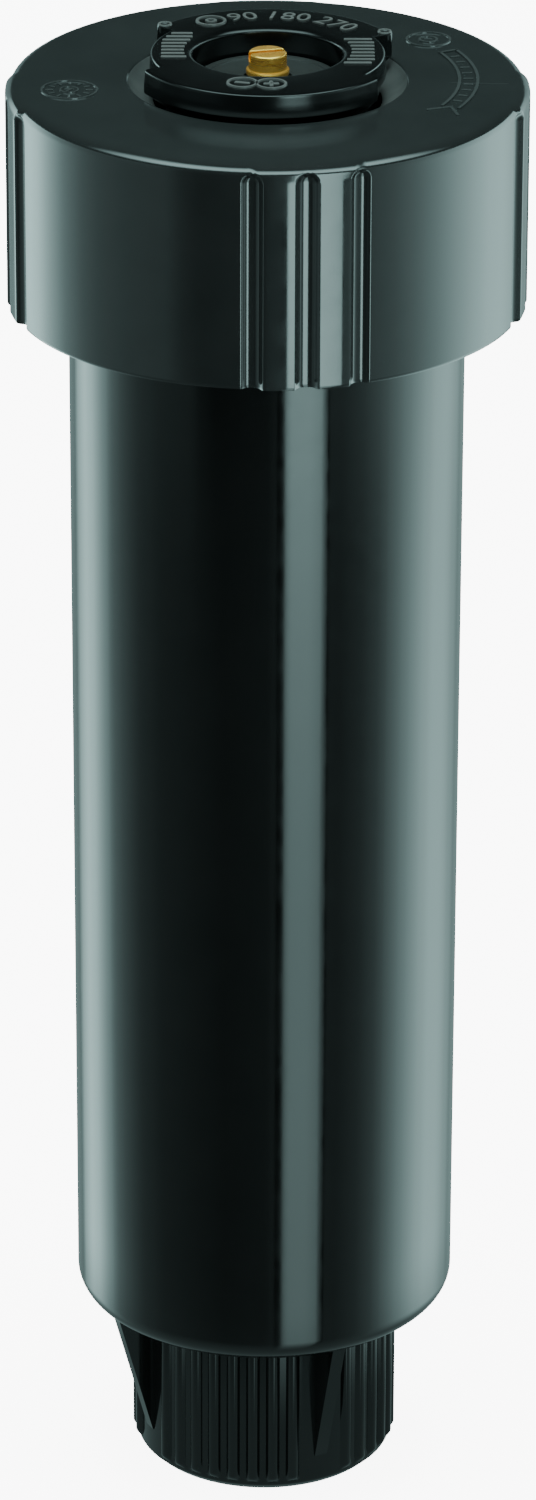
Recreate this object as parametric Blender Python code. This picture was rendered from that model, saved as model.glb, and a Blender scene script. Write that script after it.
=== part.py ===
"""Pop-up lawn sprinkler, modelled at its real size in Blender.

The frame is +Z up, with the origin at the centre of the inlet's open end.  Dimensions are named in
millimetres; each finished mesh is scaled to metres.  Every axis of motion is the sprinkler's own
centre line, so every moving piece keeps its origin at (0, 0, 0), on its joint's axis.
"""
import math

import bmesh
import bpy

MM = 0.001
FULL_TURN = 360.0

# Driving dimensions, in millimetres.
BODY_RADIUS = 21.9            # tube of the case, just above the shoulder
BODY_TOP_RADIUS = 22.1        # the same tube where it enters the cap
SHOULDER_Z = 20.4             # underside of the case's chamber
SHOULDER_FILLET = 3.0
WALL = 2.0
RIM_Z = 160.0                 # top rim of the case
CAP_TOP_Z = 169.2
CAP_BOTTOM_Z = 143.5
CAP_RADIUS = 28.5
CAP_FILLET = 1.4
CAP_HOLE_RADIUS = 15.4
HEAD_TOP_Z = 172.6
HEAD_RADIUS = 15.0
STEM_RADIUS = 10.0
STEM_BORE = 8.2
GAP = 0.3                     # room left between neighbouring pieces

# Pipe thread G 1/2 in the inlet.
INLET_MAJOR = 10.48
INLET_MINOR = 9.32
INLET_PITCH = 1.814
INLET_THREAD_LENGTH = 14.5
THROAT_RADIUS = 8.5
BOSS_RADIUS = 14.9
BOSS_CHAMFER = 0.9

# Thread between case and cap: right-hand, so turning the cap anticlockwise lifts it.
CAP_PITCH = 3.0
THREAD_ROOT = 24.2
THREAD_CREST = 25.6
THREAD_START_Z = 147.9
THREAD_TURNS = 3.2
CAP_BORE = 24.6

# Coarse segment counts: the tube and cap, the riser's pieces, and the smallest ones.
LARGE = 36
MEDIUM = 24
SMALL = 16
THREAD_STEPS = 18             # chords in each turn of a thread

# Colours, roughness and metallic value of each finish.
DARK_GREY = (0.026, 0.036, 0.036, 1.0)
BLACK = (0.012, 0.015, 0.015, 1.0)
MID_GREY = (0.09, 0.11, 0.11, 1.0)
RUBBER = (0.010, 0.010, 0.011, 1.0)
ACETAL = (0.55, 0.56, 0.55, 1.0)
SCREEN_BLUE = (0.10, 0.16, 0.24, 1.0)
STEEL = (0.62, 0.62, 0.61, 1.0)
BRASS = (0.72, 0.49, 0.14, 1.0)

FINISHES = {
    "cap_plastic": (DARK_GREY, 0.34, 0.0),
    "body_plastic": (BLACK, 0.14, 0.0),
    "head_plastic": (BLACK, 0.20, 0.0),
    "hub_plastic": (MID_GREY, 0.35, 0.0),
    "riser_plastic": (BLACK, 0.28, 0.0),
    "acetal": (ACETAL, 0.38, 0.0),
    "rubber": (RUBBER, 0.65, 0.0),
    "screen_plastic": (SCREEN_BLUE, 0.42, 0.0),
    "spring_steel": (STEEL, 0.24, 1.0),
    "brass": (BRASS, 0.26, 1.0),
}


def clear_scene():
    """Remove every object that the file holds."""
    for old in list(bpy.data.objects):
        bpy.data.objects.remove(old, do_unlink=True)


def finish_material(slot):
    """Return the Principled material of a finish, made on first use."""
    existing = bpy.data.materials.get(slot)
    if existing:
        return existing
    colour, roughness, metallic = FINISHES[slot]
    material = bpy.data.materials.new(slot)
    material.use_nodes = True
    shader = material.node_tree.nodes["Principled BSDF"]
    shader.inputs["Base Color"].default_value = colour
    shader.inputs["Roughness"].default_value = roughness
    shader.inputs["Metallic"].default_value = metallic
    material.diffuse_color = colour
    return material


def polar(radius, degrees, height):
    """A point from its radius, azimuth in degrees and height."""
    angle = math.radians(degrees)
    return (radius * math.cos(angle), radius * math.sin(angle), height)


def arc(centre, radius, start, end, steps):
    """Points of a circular arc in the (radius, height) plane; angles in degrees."""
    points = []
    for step in range(steps + 1):
        angle = math.radians(start + (end - start) * step / steps)
        points.append((centre[0] + radius * math.cos(angle), centre[1] + radius * math.sin(angle)))
    return points


def circle_section(radius, height, wire, sides):
    """A round wire's section, centred at (radius, height)."""
    return arc((radius, height), wire, 0.0, FULL_TURN - FULL_TURN / sides, sides - 1)


def close_up(mesh):
    """Turn every face of a closed mesh outwards."""
    bmesh.ops.recalc_face_normals(mesh, faces=mesh.faces)
    return mesh


def turned(profile, segments):
    """Solid of revolution from a closed (radius, height) outline; radius 0 lies on the axis."""
    mesh = bmesh.new()
    rings = []
    for radius, height in profile:
        count = segments if radius > 0.0 else 1
        ring = [mesh.verts.new(polar(radius, FULL_TURN * k / segments, height)) for k in range(count)]
        rings.append(ring)
    for lower, upper in zip(rings, rings[1:] + rings[:1]):
        if len(lower) == 1 and len(upper) == 1:
            continue
        for k in range(segments):
            nxt = (k + 1) % segments
            if len(lower) == 1:
                mesh.faces.new((lower[0], upper[k], upper[nxt]))
            elif len(upper) == 1:
                mesh.faces.new((lower[k], lower[nxt], upper[0]))
            else:
                mesh.faces.new((lower[k], lower[nxt], upper[nxt], upper[k]))
    return close_up(mesh)


def loft(mesh, rows):
    """Close a tube through rows of points and cap both its ends."""
    rings = [[mesh.verts.new(point) for point in row] for row in rows]
    sides = len(rows[0])
    for lower, upper in zip(rings, rings[1:]):
        for k in range(sides):
            nxt = (k + 1) % sides
            mesh.faces.new((lower[k], lower[nxt], upper[nxt], upper[k]))
    mesh.faces.new(rings[0])
    mesh.faces.new(rings[-1])


def sectors(blocks, steps=3):
    """Ring sectors, each (inner radius, outer radius, low, high, middle azimuth, half angle)."""
    mesh = bmesh.new()
    for inner, outer, low, high, middle, half in blocks:
        rows = []
        for step in range(steps + 1):
            azimuth = middle - half + 2.0 * half * step / steps
            corners = ((inner, low), (outer, low), (outer, high), (inner, high))
            rows.append([polar(radius, azimuth, height) for radius, height in corners])
        loft(mesh, rows)
    return close_up(mesh)


def radial_plates(outline, thickness, azimuths):
    """Flat plates standing on radial planes, from a (radius, height) outline."""
    mesh = bmesh.new()
    for azimuth in azimuths:
        rows = []
        for side in (-0.5, 0.5):
            shift = polar(side * thickness, azimuth + 90.0, 0.0)
            row = []
            for radius, height in outline:
                x, y, z = polar(radius, azimuth, height)
                row.append((x + shift[0], y + shift[1], z))
            rows.append(row)
        loft(mesh, rows)
    return close_up(mesh)


def boxes(blocks):
    """Axis-aligned boxes, each (centre, size), turned about Z by an angle in degrees."""
    mesh = bmesh.new()
    for centre, size, turn in blocks:
        rows = []
        for end in (-0.5, 0.5):
            row = []
            for u, v in ((-0.5, -0.5), (0.5, -0.5), (0.5, 0.5), (-0.5, 0.5)):
                x = centre[0] + end * size[0]
                y = centre[1] + u * size[1]
                radius = math.hypot(x, y)
                azimuth = math.degrees(math.atan2(y, x)) + turn
                row.append(polar(radius, azimuth, centre[2] + v * size[2]))
            rows.append(row)
        loft(mesh, rows)
    return close_up(mesh)


def helical_bar(section, pitch, start_z, turns, steps_per_turn, fade_steps=0):
    """Sweep a closed (radius, height) section along a right-hand helix about Z.

    With fade_steps, both ends run out into the section's first radius.
    """
    mesh = bmesh.new()
    steps = round(turns * steps_per_turn)
    root = section[0][0]
    rows = []
    for step in range(steps + 1):
        fade = 1.0
        if fade_steps:
            fade = min(1.0, (min(step, steps - step) + 0.4) / fade_steps)
        azimuth = FULL_TURN * step / steps_per_turn
        rise = start_z + pitch * step / steps_per_turn
        rows.append([polar(root + (r - root) * fade, azimuth, rise + z) for r, z in section])
    loft(mesh, rows)
    return close_up(mesh)


def as_object(name, mesh):
    """Put a bmesh into a new object of the scene."""
    data = bpy.data.meshes.new(name)
    mesh.to_mesh(data)
    mesh.free()
    obj = bpy.data.objects.new(name, data)
    bpy.context.scene.collection.objects.link(obj)
    return obj


def combine(mesh, changes):
    """Apply Boolean changes, each (operation, tool mesh), and return the new bmesh."""
    base = as_object("work", mesh)
    tools = []
    for operation, tool_mesh in changes:
        tool = as_object("tool", tool_mesh)
        tools.append(tool)
        modifier = base.modifiers.new(operation.lower(), "BOOLEAN")
        modifier.operation = operation
        modifier.object = tool
        modifier.solver = "EXACT"
    graph = bpy.context.evaluated_depsgraph_get()
    result = bmesh.new()
    result.from_mesh(base.evaluated_get(graph).to_mesh())
    for spare in [base] + tools:
        bpy.data.objects.remove(spare, do_unlink=True)
    return result


def place(name, mesh, slot, parent):
    """Finish a piece: scale it to metres, shade it and give it its material and parent."""
    bmesh.ops.scale(mesh, vec=(MM, MM, MM), verts=mesh.verts)
    obj = as_object(name, mesh)
    obj.data.materials.append(finish_material(slot))
    obj.data.shade_smooth()
    obj.data.set_sharp_from_angle(angle=math.radians(32.0))
    obj.parent = parent
    return obj


def motion_empty(name, parent):
    """An empty on the centre line that carries the pieces which move together."""
    empty = bpy.data.objects.new(name, None)
    empty.empty_display_size = 10.0 * MM
    empty.parent = parent
    bpy.context.scene.collection.objects.link(empty)
    return empty


# ---------------------------------------------------------------- the case

WING_AZIMUTH = -63.4          # azimuth of the first gusset wing; the others follow every 90 degrees
WING_REACH = 19.4             # the wings' radius at the shoulder
WING_LOW_Z = 4.2
BOSS_ROOT = BOSS_RADIUS - 0.5  # ribs and wings start this deep, inside the boss
FLOOR_Z = SHOULDER_Z + 2.5    # inside floor of the chamber
KEY_AZIMUTHS = (0.0, 90.0, 180.0, 270.0)


def boss_ribs():
    """Upright grip ribs around the inlet boss, left out beside each wing."""
    pitch = 9.0
    first = 13.5
    per_quadrant = 8
    thickness = 1.2
    proud = BOSS_RADIUS + 0.6
    low = 1.3
    lead_in = 0.9
    high = SHOULDER_Z + 0.2
    azimuths = []
    for quadrant in range(4):
        for rib in range(per_quadrant):
            azimuths.append(WING_AZIMUTH + 90.0 * quadrant + first + pitch * rib)
    outline = [(BOSS_ROOT, low), (proud, low + lead_in), (proud, high), (BOSS_ROOT, high)]
    return radial_plates(outline, thickness, azimuths)


def boss_wings():
    """Triangular gussets between the boss and the shoulder."""
    thickness = 1.6
    edge = 0.4
    high = SHOULDER_Z + 0.6
    outline = [(BOSS_ROOT, WING_LOW_Z), (BOSS_RADIUS + 0.1, WING_LOW_Z), (WING_REACH, SHOULDER_Z - edge)]
    outline += [(WING_REACH, high), (BOSS_ROOT, high)]
    return radial_plates(outline, thickness, [WING_AZIMUTH + 90.0 * k for k in range(4)])


def case_keys():
    """Four long ribs inside the case; they stop the ratchet ring from turning."""
    inner = 18.6
    outer = BODY_RADIUS - 1.0
    low = FLOOR_Z - 0.5
    high = 150.0
    half_angle = 3.6
    return sectors([(inner, outer, low, high, az, half_angle) for az in KEY_AZIMUTHS], steps=1)


def case_thread():
    """Outside thread that the cap screws on."""
    inner = THREAD_ROOT - 0.5
    root_half = 1.0
    crest_half = 0.45
    section = [(inner, -root_half), (THREAD_CREST, -crest_half)]
    section += [(THREAD_CREST, crest_half), (inner, root_half)]
    return helical_bar(section, CAP_PITCH, THREAD_START_Z, THREAD_TURNS, THREAD_STEPS, fade_steps=4)


def inlet_thread():
    """Cutter of the inlet's inside pipe thread."""
    inner = INLET_MINOR - 0.3
    root_half = 0.78
    crest_half = 0.18
    section = [(inner, -root_half), (INLET_MAJOR, -crest_half)]
    section += [(INLET_MAJOR, crest_half), (inner, root_half)]
    turns = (INLET_THREAD_LENGTH + 1.0) / INLET_PITCH
    return helical_bar(section, INLET_PITCH, -1.0, turns, SMALL)


def body_case(parent):
    """Case: tube, shoulder, ribbed inlet boss with wings, and threaded neck."""
    flare_z = CAP_BOTTOM_Z + 1.0
    flare_rise = 2.1
    chamber = BODY_RADIUS - WALL
    neck_bore = BODY_TOP_RADIUS
    ledge_z = 152.5
    groove_inner = 22.6
    groove_outer = 23.6
    groove_z = RIM_Z - 0.8
    thread_end_z = INLET_THREAD_LENGTH + 1.0
    outline = [(BOSS_RADIUS - BOSS_CHAMFER, 0.0), (BOSS_RADIUS, BOSS_CHAMFER), (BOSS_RADIUS, SHOULDER_Z)]
    corner = (BODY_RADIUS - SHOULDER_FILLET, SHOULDER_Z + SHOULDER_FILLET)
    outline += arc(corner, SHOULDER_FILLET, -90.0, 0.0, 3)
    outline += [(BODY_TOP_RADIUS, flare_z), (THREAD_ROOT, flare_z + flare_rise), (THREAD_ROOT, RIM_Z)]
    outline += [(groove_outer, RIM_Z), (groove_outer, groove_z), (groove_inner, groove_z)]
    outline += [(groove_inner, RIM_Z), (neck_bore, RIM_Z), (neck_bore, ledge_z)]
    outline += [(chamber, ledge_z - 2.0), (chamber, FLOOR_Z)]
    outline += [(THROAT_RADIUS, FLOOR_Z), (THROAT_RADIUS, thread_end_z + 0.8), (INLET_MINOR, thread_end_z)]
    outline += [(INLET_MINOR, 1.5), (INLET_MAJOR + 0.3, 0.0)]
    changes = [
        ("UNION", boss_ribs()),
        ("UNION", boss_wings()),
        ("UNION", case_keys()),
        ("UNION", case_thread()),
        ("DIFFERENCE", inlet_thread()),
    ]
    return place("body_case", combine(turned(outline, LARGE), changes), "body_plastic", parent)


# ---------------------------------------------------------------- the cap

GRIP_CENTRES = (-81.6, -5.2, 90.0, 187.6)    # azimuths of the middle flute of each grip group
GRIP_SPACING = 12.4
GRIP_PROUD = 0.4
FLUTE_RADIUS = 1.25
FLUTE_DEPTH = 0.5
FLUTE_TOP_Z = 168.0


def grip_pads():
    """Slightly proud pads that carry the flutes."""
    inner = CAP_RADIUS - 1.0
    outer = CAP_RADIUS + GRIP_PROUD
    low = CAP_BOTTOM_Z
    high = CAP_TOP_Z - CAP_FILLET
    return sectors([(inner, outer, low, high, az, GRIP_SPACING) for az in GRIP_CENTRES], steps=6)


def grip_flutes():
    """Round-bottomed flutes with domed tops, three in each group."""
    mesh = bmesh.new()
    axis_radius = CAP_RADIUS + FLUTE_RADIUS - FLUTE_DEPTH
    sides = 10
    dome_z = FLUTE_TOP_Z - 1.0
    levels = [(FLUTE_RADIUS, CAP_BOTTOM_Z - 1.0)]
    levels += arc((0.0, dome_z), FLUTE_RADIUS, 0.0, 60.0, 2)
    for centre in GRIP_CENTRES:
        for flute in (-1, 0, 1):
            x, y, _ = polar(axis_radius, centre + flute * GRIP_SPACING, 0.0)
            rows = []
            for radius, height in levels:
                rows.append([(x + radius * math.cos(a), y + radius * math.sin(a), height)
                             for a in [2.0 * math.pi * k / sides for k in range(sides)]])
            loft(mesh, rows)
    return close_up(mesh)


def cap_thread():
    """Cutter of the cap's inside thread, in step with the thread on the case."""
    inner = CAP_BORE - 0.5
    outer = THREAD_CREST + 0.5
    root_half = 1.27
    crest_half = 0.75
    section = [(inner, -root_half), (outer, -crest_half), (outer, crest_half), (inner, root_half)]
    turns = 6.0
    start = THREAD_START_Z - 2.0 * CAP_PITCH
    return helical_bar(section, CAP_PITCH, start, turns, THREAD_STEPS)


def cap(parent):
    """Screw cap with its countersunk hole for the head."""
    ceiling_z = CAP_TOP_Z - 3.0
    throat = 12.6
    throat_edge = 0.7
    lead_in = 0.8
    corner = (CAP_RADIUS - CAP_FILLET, CAP_TOP_Z - CAP_FILLET)
    outline = [(CAP_HOLE_RADIUS, CAP_TOP_Z)]
    outline += arc(corner, CAP_FILLET, 90.0, 0.0, 3)
    outline += [(CAP_RADIUS, CAP_BOTTOM_Z), (CAP_BORE + lead_in, CAP_BOTTOM_Z)]
    outline += [(CAP_BORE, CAP_BOTTOM_Z + lead_in), (CAP_BORE, ceiling_z)]
    outline += [(throat, ceiling_z), (throat, ceiling_z + throat_edge)]
    changes = [
        ("UNION", grip_pads()),
        ("DIFFERENCE", grip_flutes()),
        ("DIFFERENCE", cap_thread()),
    ]
    return place("cap", combine(turned(outline, LARGE), changes), "cap_plastic", parent)


# ---------------------------------------------------------------- seals and spring seat

RETAINER_LOW_Z = 157.3        # the spring pushes up on this face


def rim_o_ring(parent):
    """O-ring in the case's rim."""
    ring_radius = 23.1
    wire = 0.4
    profile = circle_section(ring_radius, RIM_Z - 0.25, wire, 5)
    return place("rim_o_ring", turned(profile, LARGE), "rubber", parent)


def seal_retainer(parent):
    """Rigid cup that holds the wiper seal and seats the top of the spring."""
    hole = 10.8
    pocket = 20.4
    outer = BODY_TOP_RADIUS - 0.4
    lip = 24.0
    chamfer = 0.6
    lip_z = RIM_Z + GAP
    top_z = RIM_Z + 1.4
    floor_z = RETAINER_LOW_Z + 1.6
    profile = [(hole, RETAINER_LOW_Z), (outer - chamfer, RETAINER_LOW_Z), (outer, RETAINER_LOW_Z + chamfer)]
    profile += [(outer, lip_z), (lip, lip_z), (lip, top_z), (pocket, top_z)]
    profile += [(pocket, floor_z), (hole, floor_z)]
    return place("seal_retainer", turned(profile, MEDIUM), "acetal", parent)


def wiper_seal(parent):
    """Moulded seal: a wiping lip above, a pressure lip below, and a clamped outer rim."""
    lip = STEM_RADIUS + 0.35
    waist = lip + 1.3
    body = 20.1
    rim = 23.8
    low = RETAINER_LOW_Z + 1.9
    rim_low = RIM_Z + 1.7
    rim_high = 165.8
    dish_z = 163.4
    lip_z = 164.6
    profile = [(lip, lip_z), (lip + 1.0, lip_z + 0.1), (13.4, dish_z), (17.6, dish_z), (18.6, rim_high)]
    profile += [(rim, rim_high), (rim, rim_low), (body, rim_low), (body, low), (12.6, low)]
    profile += [(lip + 0.4, low + 0.1), (lip, low + 0.8), (waist, 161.6), (waist, 163.0)]
    return place("wiper_seal", turned(profile, MEDIUM), "rubber", parent)


# ---------------------------------------------------------------- riser

HOLDER_TOP_Z = 26.9
RATCHET_LOW_Z = 27.3
RATCHET_TOP_Z = 30.6
TOOTH_HEIGHT = 0.7
TEETH = 20
FLANGE_LOW_Z = 32.3
FLANGE_TOP_Z = 35.0
FLANGE_RADIUS = 15.6
STEM_TOP_Z = 161.5


def ratchet_teeth(root_z, tip_z):
    """Ring of saw teeth between two heights, each with one steep and one sloping flank."""
    mesh = bmesh.new()
    inner = 12.2
    outer = 15.0
    step = FULL_TURN / TEETH
    for tooth in range(TEETH):
        start = step * (tooth + 0.13)
        rows = []
        for radius in (inner, outer):
            rows.append([polar(radius, start, root_z), polar(radius, start + 0.8 * step, root_z),
                         polar(radius, start + 0.15 * step, tip_z), polar(radius, start, tip_z)])
        loft(mesh, rows)
    return close_up(mesh)


def riser_stem(parent):
    """Riser tube with its bottom flange and ratchet teeth."""
    low = RATCHET_LOW_Z
    chamfer = 0.4
    profile = [(STEM_BORE, low), (STEM_RADIUS - chamfer, low), (STEM_RADIUS, low + chamfer)]
    profile += [(STEM_RADIUS, FLANGE_LOW_Z)]
    profile += [(FLANGE_RADIUS, FLANGE_LOW_Z), (FLANGE_RADIUS, FLANGE_TOP_Z), (STEM_RADIUS, FLANGE_TOP_Z)]
    profile += [(STEM_RADIUS, STEM_TOP_Z), (STEM_BORE, STEM_TOP_Z)]
    teeth = ratchet_teeth(FLANGE_LOW_Z + 0.3, FLANGE_LOW_Z - TOOTH_HEIGHT)
    mesh = combine(turned(profile, MEDIUM), [("UNION", teeth)])
    return place("riser_stem", mesh, "riser_plastic", parent)


def ratchet_ring(parent):
    """Toothed ring that slides on the case's keys and lets the riser click round."""
    outer = BODY_RADIUS - WALL - 0.5
    inner = STEM_RADIUS + 0.4
    notch = 18.1
    notch_half_angle = 5.2
    low = RATCHET_LOW_Z
    high = RATCHET_TOP_Z
    profile = [(inner, low), (outer, low), (outer, high), (inner, high)]
    notches = [(notch, outer + 1.0, low - 1.0, high + 1.0, az, notch_half_angle) for az in KEY_AZIMUTHS]
    changes = [
        ("DIFFERENCE", sectors(notches, steps=1)),
        ("UNION", ratchet_teeth(RATCHET_TOP_Z - 0.3, RATCHET_TOP_Z + TOOTH_HEIGHT)),
    ]
    return place("ratchet_ring", combine(turned(profile, MEDIUM), changes), "acetal", parent)


def seal_holder(parent):
    """Snap-in cup under the riser; it keeps the ratchet ring on and carries the check seal."""
    bore = 7.0
    sleeve = STEM_BORE - GAP
    sleeve_top = 34.0
    rim = 13.5
    rim_inner = rim - 0.6
    low = 25.3
    rim_low = 24.0
    profile = [(bore, low), (rim_inner, low), (rim_inner, rim_low), (rim, rim_low), (rim, HOLDER_TOP_Z)]
    profile += [(sleeve, HOLDER_TOP_Z), (sleeve, sleeve_top), (bore, sleeve_top + 0.6)]
    return place("seal_holder", turned(profile, MEDIUM), "acetal", parent)


def check_valve_seal(parent):
    """Soft ring that closes the inlet when the riser is down."""
    inner = 9.2
    outer = 12.6
    low = FLOOR_Z + GAP
    high = 25.0
    chamfer = 0.6
    profile = [(inner, low + chamfer), (inner + chamfer, low), (outer - chamfer, low), (outer, low + chamfer)]
    profile += [(outer, high), (inner, high)]
    return place("check_valve_seal", turned(profile, MEDIUM), "rubber", parent)


def spring_washer(parent):
    """Thin thrust washer between spring and riser flange."""
    inner = 10.5
    outer = 14.2
    low = FLANGE_TOP_Z + GAP
    high = low + 0.6
    profile = [(inner, low), (outer, low), (outer, high), (inner, high)]
    return place("spring_washer", turned(profile, MEDIUM), "spring_steel", parent)


# ---------------------------------------------------------------- spring

WIRE_RADIUS = 0.75
COIL_RADIUS = 12.2
SPRING_TURNS = 11
END_TURN_PITCH = 1.8


def retract_spring(parent):
    """Open-coiled return spring with one close turn at each end."""
    sides = 5
    low = FLANGE_TOP_Z + 1.2 + WIRE_RADIUS
    high = RETAINER_LOW_Z - GAP - WIRE_RADIUS
    open_pitch = (high - low - 2.0 * END_TURN_PITCH) / (SPRING_TURNS - 2.0)
    steps_per_turn = 10
    mesh = bmesh.new()
    rows = []
    for step in range(SPRING_TURNS * steps_per_turn + 1):
        turns = step / steps_per_turn
        middle = min(max(turns - 1.0, 0.0), SPRING_TURNS - 2.0)
        centre_z = low + END_TURN_PITCH * (turns - middle) + open_pitch * middle
        section = circle_section(COIL_RADIUS, centre_z, WIRE_RADIUS, sides)
        rows.append([polar(r, FULL_TURN * turns, z) for r, z in section])
    loft(mesh, rows)
    return place("retract_spring", close_up(mesh), "spring_steel", parent)


# ---------------------------------------------------------------- nozzle

BASE_TOP_Z = 165.0
BASE_FLANGE_Z = 162.8
BASE_LOW_Z = 142.0
BASE_SKIRT = STEM_BORE - GAP
BASE_BORE = 6.5
SEAT_Z = 151.0
STALK_RADIUS = 4.1
STALK_LOW_Z = 158.3
SPOKE_AZIMUTHS = (90.0, 210.0, 330.0)
LUG_HALF_ANGLE = 7.0


def nozzle_gasket(parent):
    """Flat washer between riser and nozzle."""
    inner = STEM_BORE
    outer = STEM_RADIUS - 0.2
    low = STEM_TOP_Z + GAP
    high = BASE_FLANGE_Z - GAP
    profile = [(inner, low), (outer, low), (outer, high), (inner, high)]
    return place("nozzle_gasket", turned(profile, MEDIUM), "rubber", parent)


def nozzle_base(parent):
    """Nozzle body in the riser's mouth: throttle seat, spokes, and a stop for the arc ring."""
    seat_hole = 3.3
    seat_top_z = SEAT_Z + 1.4
    edge = 0.2
    spoke_low = 155.0
    spoke_high = 161.0
    spoke_half_angle = 9.0
    stop_high = 166.0
    profile = [(BASE_BORE, BASE_TOP_Z), (STEM_RADIUS - edge, BASE_TOP_Z), (STEM_RADIUS, BASE_TOP_Z - edge)]
    profile += [(STEM_RADIUS, BASE_FLANGE_Z), (BASE_SKIRT, BASE_FLANGE_Z), (BASE_SKIRT, BASE_LOW_Z)]
    profile += [(BASE_BORE, BASE_LOW_Z), (BASE_BORE, SEAT_Z), (seat_hole, SEAT_Z), (seat_hole, seat_top_z)]
    profile += [(BASE_BORE, seat_top_z)]
    spokes = []
    for azimuth in SPOKE_AZIMUTHS:
        spokes.append((STALK_RADIUS + GAP, BASE_BORE + 0.4, spoke_low, spoke_high, azimuth, spoke_half_angle))
    stop = [(7.4, 8.6, BASE_TOP_Z - 0.4, stop_high, -LUG_HALF_ANGLE - 1.0, LUG_HALF_ANGLE)]
    changes = [("UNION", sectors(spokes, steps=2)), ("UNION", sectors(stop, steps=2))]
    return place("nozzle_base", combine(turned(profile, MEDIUM), changes), "head_plastic", parent)


def nozzle_hub(parent):
    """Centre of the nozzle: the plate at the bottom of the head's recess, and its hollow stalk."""
    plate_low = 168.1
    plate_top = 169.4
    plate = 7.9
    bore = 1.9
    counterbore = 2.75
    counterbore_z = 167.4
    profile = [(bore, STALK_LOW_Z), (STALK_RADIUS, STALK_LOW_Z), (STALK_RADIUS, plate_low)]
    profile += [(plate, plate_low), (plate, plate_top), (counterbore, plate_top)]
    profile += [(counterbore, counterbore_z), (bore, counterbore_z)]
    return place("nozzle_hub", turned(profile, MEDIUM), "hub_plastic", parent)


def finger_notches():
    """Cutters of the two finger notches in the head's rim."""
    inner = 13.0
    outer = HEAD_RADIUS + 1.0
    low = 160.0
    high = HEAD_TOP_Z + 1.0
    half_angle = 30.5
    return sectors([(inner, outer, low, high, az, half_angle) for az in (175.5, -6.5)], steps=7)


def knurl_grooves():
    """Cutters of the shallow grooves between the ridges of both finger pads."""
    pitch = 1.0
    grooves = 8
    pad_middle = 10.95
    size = (2.3, 0.5, 0.6)
    blocks = []
    for side, middle_y in ((-1.0, 1.4), (1.0, -0.4)):
        for groove in range(grooves):
            y = middle_y + (groove - 0.5 * (grooves - 1)) * pitch
            blocks.append(((side * pad_middle, y, HEAD_TOP_Z), size, 0.0))
    return boxes(blocks)


def arc_ring(parent):
    """Head ring turned by hand to set the watered arc."""
    top = HEAD_TOP_Z
    inner_edge = 0.7
    outer_edge = 0.6
    recess = 8.2
    web_top = 167.8
    web_low = 166.4
    web_hole = STALK_RADIUS + GAP
    collar = 9.6
    collar_low = 165.4
    collar_high = 167.0
    track_inner = 7.1         # running track for the stop on the nozzle body
    track_outer = 8.9
    track_high = 166.3
    web_edge = 6.2
    groove_inner = 5.9        # groove for the ring's seal
    groove_outer = 7.3
    groove_low = 167.0
    profile = arc((recess + inner_edge, top - inner_edge), inner_edge, 180.0, 90.0, 2)
    profile += arc((HEAD_RADIUS - outer_edge, top - outer_edge), outer_edge, 90.0, 0.0, 2)
    profile += [(HEAD_RADIUS, 169.9), (14.7, 169.6), (12.2, 167.5), (collar, collar_high)]
    profile += [(collar, collar_low), (track_outer, collar_low), (track_outer, track_high)]
    profile += [(track_inner, track_high), (track_inner, collar_low), (web_edge, collar_low)]
    profile += [(web_edge, web_low), (web_hole, web_low), (web_hole, web_top), (groove_inner, web_top)]
    profile += [(groove_inner, groove_low), (groove_outer, groove_low), (groove_outer, web_top)]
    profile += [(recess, web_top)]
    lug_low = 165.6
    lug_high = track_high + 0.2
    lug = [(track_inner - 0.2, track_outer + 0.2, lug_low, lug_high, LUG_HALF_ANGLE + 1.0, LUG_HALF_ANGLE)]
    changes = [
        ("UNION", sectors(lug, steps=2)),
        ("DIFFERENCE", finger_notches()),
        ("DIFFERENCE", knurl_grooves()),
    ]
    return place("arc_ring", combine(turned(profile, LARGE), changes), "head_plastic", parent)


def arc_ring_seal(parent):
    """O-ring that seals the arc ring to the hub plate."""
    ring_radius = 6.6
    wire = 0.42
    middle_z = 167.55
    profile = circle_section(ring_radius, middle_z, wire, 6)
    return place("arc_ring_seal", turned(profile, SMALL), "rubber", parent)


SCREW_SHAFT = 1.5


def adjusting_screw(parent):
    """Slotted brass screw that sets the throw."""
    head = 2.1
    top = 172.4
    edge = 0.3
    flange = 2.35
    flange_low = 169.75
    flange_high = 170.4
    neck = 1.1                # groove for the clip
    neck_low = 156.6
    neck_high = 157.6
    bottom = 143.3
    profile = [(0.0, top), (head - edge, top), (head, top - edge), (head, flange_high + 0.1)]
    profile += [(flange, flange_high), (flange, flange_low), (SCREW_SHAFT, flange_low)]
    profile += [(SCREW_SHAFT, neck_high), (neck, neck_high), (neck, neck_low), (SCREW_SHAFT, neck_low)]
    profile += [(SCREW_SHAFT, bottom + 0.4), (neck, bottom), (0.0, bottom)]
    slot_size = (6.0, 0.7, 2.2)
    slot_turn = 13.5
    slot = boxes([((0.0, 0.0, top), slot_size, slot_turn)])
    mesh = combine(turned(profile, SMALL), [("DIFFERENCE", slot)])
    return place("adjusting_screw", mesh, "brass", parent)


def screw_o_ring(parent):
    """O-ring around the screw, in the hub's counterbore."""
    ring_radius = 2.15
    wire = 0.35
    middle_z = 168.0
    profile = circle_section(ring_radius, middle_z, wire, 6)
    return place("screw_o_ring", turned(profile, SMALL), "rubber", parent)


def screw_clip(parent):
    """Open clip in the screw's groove; it keeps the screw from backing out."""
    inner = 1.3
    outer = 3.0
    low = 156.8
    high = low + 0.6
    half_angle = 150.0
    mesh = sectors([(inner, outer, low, high, 90.0, half_angle)], steps=12)
    return place("screw_clip", mesh, "spring_steel", parent)


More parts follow.
